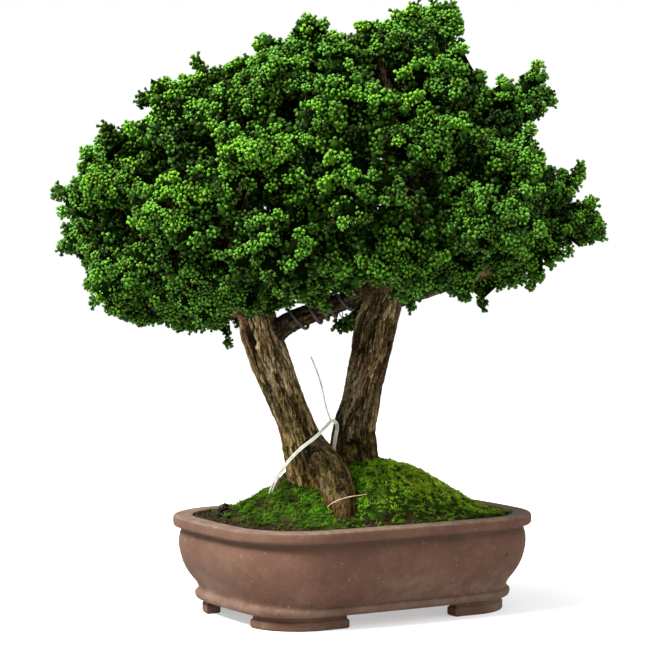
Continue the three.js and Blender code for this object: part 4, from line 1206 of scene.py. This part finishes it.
def spindles(bases, tips, widths, rings, depths, own, spray):
    """Closed spindles from bases to tips, with rings of a few points, and their tones.

    Depths are the first tone of the base, of each ring and of the tip; own and spray are the other two.
    """
    count = len(bases)
    n = NUB_SIDES
    across, beyond = frames_along(unit(tips - bases))
    spin = random.uniform(0, 2 * math.pi, count)
    layers = [bases[:, None]]
    for share, width in rings:
        angle = spin[:, None] + np.arange(n) * 2 * math.pi / n
        centre = bases + share * (tips - bases)
        radial = across[:, None] * np.cos(angle)[..., None] + beyond[:, None] * np.sin(angle)[..., None]
        layers.append(centre[:, None] + radial * (width * widths)[:, None, None])
    layers.append(tips[:, None])
    points = np.concatenate(layers, 1)
    size = points.shape[1]
    k = np.arange(n)
    after = (k + 1) % n
    pattern = [np.stack([np.zeros(n, int), 1 + after, 1 + k], -1)]
    for ring in range(len(rings) - 1):
        low, high = 1 + ring * n, 1 + (ring + 1) * n
        pattern.append(np.stack([low + k, low + after, high + k], -1))
        pattern.append(np.stack([low + after, high + after, high + k], -1))
    pattern.append(np.stack([size - 1 - n + k, size - 1 - n + after, np.full(n, size - 1)], -1))
    triangles = (np.arange(count) * size)[:, None, None] + np.vstack(pattern)
    tones = np.zeros((count, size, 3))
    tones[..., 0] = np.repeat(depths, [1] + [n] * len(rings) + [1])
    tones[..., 1] = np.asarray(own)[:, None]
    tones[..., 2] = np.asarray(spray)[:, None]
    return points.reshape(-1, 3), triangles.reshape(-1, 3), tones.reshape(-1, 3)


def floret_hearts(centres, frames, radii, light, spray):
    """The middle of each floret, that its nubs stand out of, kept dark as painted shade."""
    count = len(centres)
    arms = np.stack([sign * arm for arm in frames for sign in (1, -1)], 1)
    points = centres[:, None] + arms * radii[:, None, None]
    octahedron = [(0, 2, 4), (2, 1, 4), (1, 3, 4), (3, 0, 4), (2, 0, 5), (1, 2, 5), (3, 1, 5), (0, 3, 5)]
    triangles = (np.arange(count) * 6)[:, None, None] + np.array(octahedron)
    tones = np.empty((count, 6, 3))
    tones[..., 0] = HEART_SHADE_DEPTH
    tones[..., 1] = 0.6 * light[:, None]
    tones[..., 2] = spray[:, None]
    return points.reshape(-1, 3), triangles.reshape(-1, 3), tones.reshape(-1, 3)


def florets(roots, growth, light, inner=False):
    """The nubs of florets that grow from roots, with how much light each one gets, from 0 to 1."""
    count = len(roots)
    nubs = INNER_NUBS if inner else FLORET_NUBS
    side, face = frames_along(growth)
    turned = random.uniform(0, math.pi, count)[:, None]
    cosine, sine = np.cos(turned), np.sin(turned)
    side, face = side * cosine + face * sine, face * cosine - side * sine
    size = random.uniform(0.8, 1.2, count)
    spread = even_directions(nubs, FLORET_OPENING) + random.normal(0, 0.09, (count, nubs, 3))
    direction = (
        growth[:, None] * spread[..., :1]
        + side[:, None] * spread[..., 1:2]
        + face[:, None] * (FLORET_FLATNESS * spread[..., 2:])
    )
    reach = size[:, None] * random.uniform(0.8, 1.14, (count, nubs)) * FLORET_REACH
    bases = roots[:, None] + direction * (NUB_START * reach)[..., None]
    tips = roots[:, None] + direction * reach[..., None]
    radius = INNER_NUB_RADIUS if inner else NUB_RADIUS
    widths = radius * size[:, None] ** 0.5 * random.uniform(0.8, 1.15, (count, nubs))
    # Nubs that lean out or hang are in their neighbours' shade.
    upright = 0.62 + 0.38 * smooth_step(-0.1, 0.75, spread[..., 0]) + 0.12 * direction[..., 2]
    own = light[:, None] * upright * random.uniform(0.78, 1.0, (count, nubs))
    kinds = random.uniform(0.05, 1, count)
    spray = np.broadcast_to(kinds[:, None], (count, nubs))
    hearts = floret_hearts(roots, (growth, side, face), HEART_SIZE * size * FLORET_REACH, light, kinds)
    ends = (bases.reshape(-1, 3), tips.reshape(-1, 3), widths.ravel())
    return joined([hearts, spindles(*ends, NUB_RINGS, NUB_DEPTHS, own.ravel(), spray.ravel())])


def shoots(bases, tips, light, inner=True):
    """Thin brown stems that each carry a floret; a spray tone of 0 marks the stems as wood."""
    count = len(bases)
    along = unit(tips - bases)
    widths = np.full(count, STEM_RADIUS)
    stems = spindles(bases, tips, widths, STEM_RINGS, STEM_DEPTHS, np.full(count, 0.5), np.zeros(count))
    return [stems, florets(tips - along * 2 * MM, along, light, inner)]


def openness(spots, growth, crown):
    """How openly florets stand, from 0 to 1: the open share of the ways out, and how much sky they see."""
    looks = even_directions(OPEN_LOOKS, OPEN_ANGLE)
    across, beyond = frames_along(growth)
    starts = spots + growth * OPEN_START
    out = np.zeros((len(spots), len(looks)))
    ways = growth[:, None] * looks[None, :, :1] + across[:, None] * looks[None, :, 1:2]
    ways = ways + beyond[:, None] * looks[None, :, 2:]
    for i, start in enumerate(starts):
        origin = Vector(start)
        for k, way in enumerate(ways[i]):
            out[i, k] = crown.ray_cast(origin, Vector(way), OPEN_REACH)[0] is None
    return out.mean(1), np.maximum((out * ways[..., 2]).sum(1), 0) / OPEN_LOOKS


def bridging_shoots(spots, normals, inward, owner, crown, owners):
    """Shoots half way into the gap to a pad that faces this one, on the inward side only."""
    reach = np.zeros(len(spots))
    for i in np.flatnonzero(inward):
        start = Vector(spots[i] + normals[i] * 1.5 * MM)
        _, _, face, distance = crown.ray_cast(start, Vector(normals[i]), GAP_REACH[1])
        if face is not None and owners[face] != owner and distance > GAP_REACH[0]:
            reach[i] = min(0.5 * distance, SHOOT_MOST)
    longer = np.flatnonzero((reach > 5 * MM) & (random.random(len(spots)) < 0.5))
    if not len(longer):
        return []
    ends = spots[longer] + normals[longer] * reach[longer, None]
    ends = ends + random.normal(0, 2 * MM, (len(longer), 3))
    stems = spots[longer] - normals[longer] * FLORET_ROOT
    return shoots(stems, ends, random.uniform(0.15, 0.45, len(longer)))


def cleft_shoots(points, triangles, centre, crown):
    """Shoots that stand in the clefts between a pad's sprays, deep below what lies round them."""
    own_skin = BVHTree.FromPolygons(points.tolist(), triangles.tolist())
    looks = even_directions(CLEFT_LOOKS)
    reached = np.zeros(CLEFT_LOOKS)
    for i, look in enumerate(looks):
        far = Vector(centre + look * CLEFT_VIEW)
        _, _, face, distance = own_skin.ray_cast(far, Vector(-look), CLEFT_VIEW)
        reached[i] = CLEFT_VIEW - distance if face is not None else 0
    near = looks @ looks.T > math.cos(CLEFT_NEIGHBOURS)
    around = np.array([np.percentile(reached[row], 80) for row in near])
    deep = np.flatnonzero((around - reached > CLEFT_DEPTH) & (reached > 0))
    if not len(deep):
        return []
    ends = centre + looks[deep] * (around[deep] - 8 * MM)[:, None]
    stems = centre + looks[deep] * (reached[deep] - 2 * MM)[:, None]
    out, sky = openness(ends, looks[deep], crown)
    light = np.clip(LEAST_LIGHT + OPEN_LIGHT * out + CLEFT_SKY_LIGHT * sky, LEAST_LIGHT, CLEFT_LIGHT_MOST)
    parts = []
    for group, inner in ((out >= SHADED, False), ((out < SHADED) & (out >= BURIED), True)):
        if group.any():
            parts += shoots(stems[group], ends[group], light[group], inner)
    return parts


def pad_florets(surface, owner, crown, owners):
    """What grows on one pad: florets all over, and shoots into its clefts and towards its neighbours."""
    points, triangles = surface
    centre = (points.min(0) + points.max(0)) / 2
    spots, normals = spread_points(points, triangles, FLORET_SPACING)
    outward = unit(spots - centre)
    growth = 0.8 * normals + 0.45 * outward + np.array([0, 0, 0.25]) + random.normal(0, 0.2, normals.shape)
    growth = unit(growth)
    away = np.sum(normals * unit(spots - CROWN_HEART), axis=1)
    out, sky = openness(spots, growth, crown)
    light = LEAST_LIGHT + OPEN_LIGHT * out + SKY_LIGHT * sky + UPWARD_LIGHT * normals[:, 2]
    light = np.clip(light, LEAST_LIGHT, 1)
    roots = spots - normals * FLORET_ROOT
    shown = (out >= BURIED) | (random.random(len(spots)) < BURIED_KEPT)
    parts = []
    for group, inner in ((shown & (out >= SHADED), False), (shown & (out < SHADED), True)):
        parts.append(florets(roots[group], growth[group], light[group], inner))
    parts += bridging_shoots(spots, normals, (away < 0.35) & (out > BURIED), owner, crown, owners)
    return parts + cleft_shoots(points, triangles, centre, crown)


def grown(mask, reach):
    """A mask of cells widened by a reach in cells."""
    wider = np.zeros_like(mask)
    rows, columns = mask.shape
    padded = np.pad(mask, reach)
    for i in range(2 * reach + 1):
        for j in range(2 * reach + 1):
            if math.hypot(i - reach, j - reach) <= reach:
                wider |= padded[i : i + rows, j : j + columns]
    return wider


def surrounded(covered):
    """Cells that aren't covered and can't be reached from the edge of the view."""
    outside = np.ones_like(covered)
    outside[1:-1, 1:-1] = False
    while True:
        wider = grown(outside, 1) & ~covered
        if np.array_equal(wider, outside):
            return ~covered & ~outside
        outside = wider


def pad_nodes():
    return sorted(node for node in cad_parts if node.startswith("foliage_pad_"))


def holes(tree, look, eye, cell, closing):
    """Lines of sight, as starts and ways, through small holes among the sprays, from an eye or all one way."""
    corners = np.array([corner for node in pad_nodes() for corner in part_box(node)])
    low, high = corners.min(0), corners.max(0)
    middle, half = (low + high) / 2, np.linalg.norm(high - low) / 2
    cells = np.arange(-half, half, cell)
    side = unit(np.cross(look, [0, 0, 1.0]))
    rise = np.cross(side, look)

    def sight(i, j):
        through = middle + side * cells[i] + rise * cells[j]
        way = look if eye is None else unit(through - eye)
        return through - way * half, way

    covered = np.zeros((len(cells), len(cells)), bool)
    for i in range(len(cells)):
        for j in np.flatnonzero(np.abs(cells) < 0.6 * half):
            start, way = sight(i, j)
            covered[i, j] = tree.ray_cast(Vector(start), Vector(way))[0] is not None
    padded = np.pad(covered, closing)
    closed = ~grown(~grown(padded, closing), closing)
    closed = closed[closing:-closing, closing:-closing]
    return [sight(i, j) for i, j in np.argwhere(closed & surrounded(covered))], half


def filler(start, way, half, crown, owners, taken, spacing):
    """The pad and the ends of a shoot that closes a hole, if there is room for one."""
    best = None
    for reach in np.linspace(0.2, 0.8, HOLE_SAMPLES) * 2 * half:
        point = start + way * reach
        skin_point, _, face, distance = crown.find_nearest(Vector(point))
        cost = distance + 0.25 * abs(reach - half)
        if best is None or cost < best[0]:
            best = (cost, point, skin_point, face, distance)
    _, point, skin_point, face, distance = best
    crowded = taken and np.min(np.linalg.norm(np.array(taken) - point, axis=1)) < spacing
    if distance > FILLER_MOST or crowded:
        return None
    taken.append(point)
    inwards = unit(np.array(skin_point) - point) * FLORET_ROOT
    return owners[face], (np.array(skin_point) + inwards, point)


def fillers(crown, owners):
    """Shoots where one could see through a small hole in the crown, sorted by the pads they grow on."""
    found = {}
    taken = []
    for view in range(HOLE_VIEWS):
        turned = math.pi * view / HOLE_VIEWS + TREE_TURN
        dip = (-0.04, 0.25, -0.25)[view % 3]
        look = unit(np.array([-math.sin(turned), math.cos(turned), dip]))
        lines, half = holes(crown, look, None, HOLE_CELL, HOLE_CLOSING)
        for start, way in lines:
            if random.random() < HOLE_KEPT:
                continue
            shoot = filler(start, way, half, crown, owners, taken, FILLER_SPACING)
            if shoot:
                found.setdefault(shoot[0], []).append(shoot[1])
    return found


def front_fillers(finished, crown, owners):
    """Shoots for the holes that are left among the finished sprays, seen from the front."""
    points, triangles, _ = joined(finished)
    sprays = BVHTree.FromPolygons(points.tolist(), triangles.tolist())
    eye = np.array(seen(*CAMERA_PLACE))
    lines, half = holes(sprays, unit(CROWN_HEART - eye), eye, FRONT_CELL, FRONT_CLOSING)
    gaps = [np.array(seen(right, 0, up)) for right, up, _ in FRONT_GAPS]
    found = {}
    taken = []
    for start, way in lines:
        misses = [np.linalg.norm(np.cross(gap - eye, way)) / MM for gap in gaps]
        if any(miss < radius for miss, (_, _, radius) in zip(misses, FRONT_GAPS)):
            continue
        shoot = filler(start, way, half, crown, owners, taken, FRONT_SPACING)
        if shoot:
            found.setdefault(shoot[0], []).append(shoot[1])
    return found


def limb_shoots(crown, owners):
    """Short shoots on the bare stretches of the limbs below the crown, sorted by the nearest pad."""
    found = {}
    for (spine, radii), low_share, high_share, count in UNDERGROWN:
        for share in np.linspace(low_share, high_share, count):
            centre = curve_points(spine, np.array([share]))[0]
            radius = np.interp(share, np.linspace(0, 1, len(radii)), radii) * MM
            way = unit(random.normal(0, 1, 3) * (1, 1, 0.6) + (0, 0, 0.3))
            base, tip = centre + way * 0.6 * radius, centre + way * (radius + random.uniform(3, 8) * MM)
            _, _, face, _ = crown.find_nearest(Vector(tip))
            found.setdefault(owners[face], []).append((base, tip))
    return found


def make_foliage():
    material = foliage_material()
    nodes = pad_nodes()
    surfaces = [solid_surface(node) for node in nodes]
    owners = np.concatenate([np.full(len(triangles), i) for i, (_, triangles) in enumerate(surfaces)])
    points, triangles, _ = joined([(points, triangles, points) for points, triangles in surfaces])
    crown = BVHTree.FromPolygons(points.tolist(), triangles.tolist())
    filled = fillers(crown, owners)
    for owner, ends in limb_shoots(crown, owners).items():
        filled.setdefault(owner, []).extend(ends)
    grown_parts = []
    for owner, surface in enumerate(surfaces):
        points, triangles = surface
        centre = (points.min(0) + points.max(0)) / 2
        # Each pad's core, the pad shrunk, coloured near-black as painted shade.
        core = centre + PAD_CORE * (points - centre)
        parts = [(core, triangles, np.tile(CORE_SHADE_TONES, (len(core), 1)))]
        parts += pad_florets(surface, owner, crown, owners)
        if owner in filled:
            bases, tips = (np.array(ends) for ends in zip(*filled[owner]))
            parts += shoots(bases, tips, random.uniform(0.15, 0.4, len(tips)))
        grown_parts.append(joined(parts))
    for owner, ends in front_fillers(grown_parts, crown, owners).items():
        bases, tips = (np.array(ends) for ends in zip(*ends))
        late = shoots(bases, tips, random.uniform(0.1, 0.3, len(tips)))
        grown_parts[owner] = joined([grown_parts[owner], *late])
    for node, (points, triangles, tones) in zip(nodes, grown_parts):
        piece = make_piece(node.replace("pad", "sprays"), points, triangles, material, tones)
        finish_piece(piece, "foliage", node)


# ---------------------------------------------------------------- wires and stalk
TIE_LOOP = route(
    (-80, -36, 102), (-79, -43, 116), (-74, -49, 130), (-63, -53, 147), (-50, -55, 161),
    (-37, -52.5, 171), (-27, -42, 180), (-20, -30, 185.5), (-15.5, -20, 180), (-17, -13, 168),
    (-19, -6, 152), (-19, -5, 141.5),
)
TIE_FREE_END = route(
    (-21, -32, 184.5), (-25.5, -28, 197), (-30.5, -22, 219), (-35.5, -19, 234), (-40.5, -18, 246),
)
TIE_RADIUS = 0.86
TIE_STEPS = 40
# The loop's two strands lie side by side: how far each is from the middle, at shares of its length.
TIE_SPREAD = ((0, 0.08, 0.25, 0.8, 1), (0.2, 1.2, 0.8, 0.85, 0.7))
TRAINING_WIRE_RADIUS = 1.6
TRAINING_WIRE_TURNS = 5
TRAINING_WIRE_STEPS = 24  # per turn
TRAINING_WIRE_REACH = (0.2, 0.66)
TRAINING_WIRE_SLACK = 1.45
TRAINING_WIRE_CROWDING = 0.09  # its turns are closer together in the middle
STALK = route(
    (-24.5, -87.8, 110), (-20, -92.6, 114), (-13, -93.7, 117.4), (-4, -90.3, 119.6), (6, -86, 120.6),
    (12, -82, 121.2),
)
STALK_RADII = (0.5, 0.6, 0.5, 0.3)


def directions_on(spine, shares):
    return unit(curve_points(spine, shares + 1e-3) - curve_points(spine, shares - 1e-3))


def make_tie_wire():
    """Two strands that loop over the left trunk, and one free end that stands up."""
    shares = np.linspace(0, 1, TIE_STEPS)
    path = curve_points(TIE_LOOP, shares)
    backwards = np.array(seen(0, 1, 0)) - np.array(seen(0, 0, 0))
    side = unit(np.cross(directions_on(TIE_LOOP, shares), backwards))
    spread = np.interp(shares, *TIE_SPREAD)[:, None] * MM
    radii = (TIE_RADIUS, TIE_RADIUS)
    strands = [tube(path + sign * side * spread, radii, 9, 100) for sign in (-1, 1)]
    points, triangles, _ = joined([*strands, tube(TIE_FREE_END, radii, 10, 40)])
    wire = make_piece("pale_tie_wire", points, triangles, coated_wire_material())
    finish_piece(wire, "tie_wire", "tie_wire")


def make_training_wire():
    """A wire wound round the limb between the trunks."""
    spine, radii = WIRED_LIMB
    count = TRAINING_WIRE_TURNS * TRAINING_WIRE_STEPS + 1
    even = np.linspace(0, 1, count)
    crowded = even + TRAINING_WIRE_CROWDING * np.sin(2 * math.pi * even)
    shares = np.interp(crowded, (0, 1), TRAINING_WIRE_REACH)
    centres = curve_points(spine, shares)
    along = directions_on(spine, shares)
    held = np.array([0, 0, 1.0])
    path = []
    for i in range(count):
        held = unit(held - along[i] * np.dot(held, along[i]))
        radius = np.interp(shares[i], np.linspace(0, 1, len(radii)), radii)
        reach = (radius + TRAINING_WIRE_SLACK + TRAINING_WIRE_RADIUS) * MM
        turned = Vector(held)
        turned.rotate(Matrix.Rotation(2 * math.pi * i / TRAINING_WIRE_STEPS, 3, Vector(along[i])))
        path.append(centres[i] + np.array(turned) * reach)
    points, triangles, _ = tube(path, (TRAINING_WIRE_RADIUS, TRAINING_WIRE_RADIUS), 9, 2 * count)
    wire = make_piece("dark_training_wire", points, triangles, dark_wire_material())
    finish_piece(wire, "training_wire", "training_wire")


def make_stalk():
    points, triangles, _ = tube(STALK, STALK_RADII, 8, 50)
    finish_piece(make_piece("straw_stalk", points, triangles, straw_material()), "straw", "dry_stalk")


# ---------------------------------------------------------------- studio
FLOOR_REACH = 6  # metres
FLOOR_GREY = 0.54
FLOOR_GLOW = 0.45
WHITE = (1, 1, 1, 1)
LIGHTS = [  # name, place in millimetres from the front, size in metres and power in watts
    ("key", (-1450, -1000, 2050), 0.9, 240),
    ("top", (-250, -200, 2100), 1.2, 40),
    ("right", (1700, -900, 900), 1.2, 12),
]
LIT_MIDDLE = (0, 0, 280)


def make_floor():
    pale = Paint("pale_floor", roughness=0.95, specular=0.05)
    pale.colour((FLOOR_GREY,) * 3)
    pale.shader.inputs["Emission Color"].default_value = WHITE
    pale.shader.inputs["Emission Strength"].default_value = FLOOR_GLOW
    corners = [(FLOOR_REACH * x, FLOOR_REACH * y, 0) for x, y in ((-1, -1), (1, -1), (1, 1), (-1, 1))]
    make_piece("floor", corners, [(0, 1, 2), (0, 2, 3)], pale.material)


def make_studio():
    make_floor()
    world = bpy.data.worlds.new("studio")
    world.use_nodes = True
    background = world.node_tree.nodes["Background"]
    background.inputs["Color"].default_value = WHITE
    background.inputs["Strength"].default_value = 1.0
    scene.world = world
    for name, place, size, power in LIGHTS:
        data = bpy.data.lights.new(name, "AREA")
        data.shape = "DISK"
        data.size = size
        data.energy = power
        light = bpy.data.objects.new(name, data)
        scene.collection.objects.link(light)
        light.location = seen(*place)
        aim = Vector(seen(*LIT_MIDDLE)) - light.location
        light.rotation_euler = aim.to_track_quat("-Z", "Y").to_euler()
    scene.view_settings.view_transform = "Standard"
    scene.view_settings.look = "None"


def paint_node(node, material):
    """A carried-over solid keeps its shape and gets a finish."""
    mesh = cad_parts[node].data
    mesh.materials.clear()
    mesh.materials.append(material)


soil_paint = soil_material()
make_soil()
screen_paint = screen_material()
paint_node("drain_screen_left", screen_paint)
paint_node("drain_screen_right", screen_paint)
make_pot()
make_moss()
make_crumbs()
make_wood()
make_foliage()
make_tie_wire()
make_training_wire()
make_stalk()
make_studio()
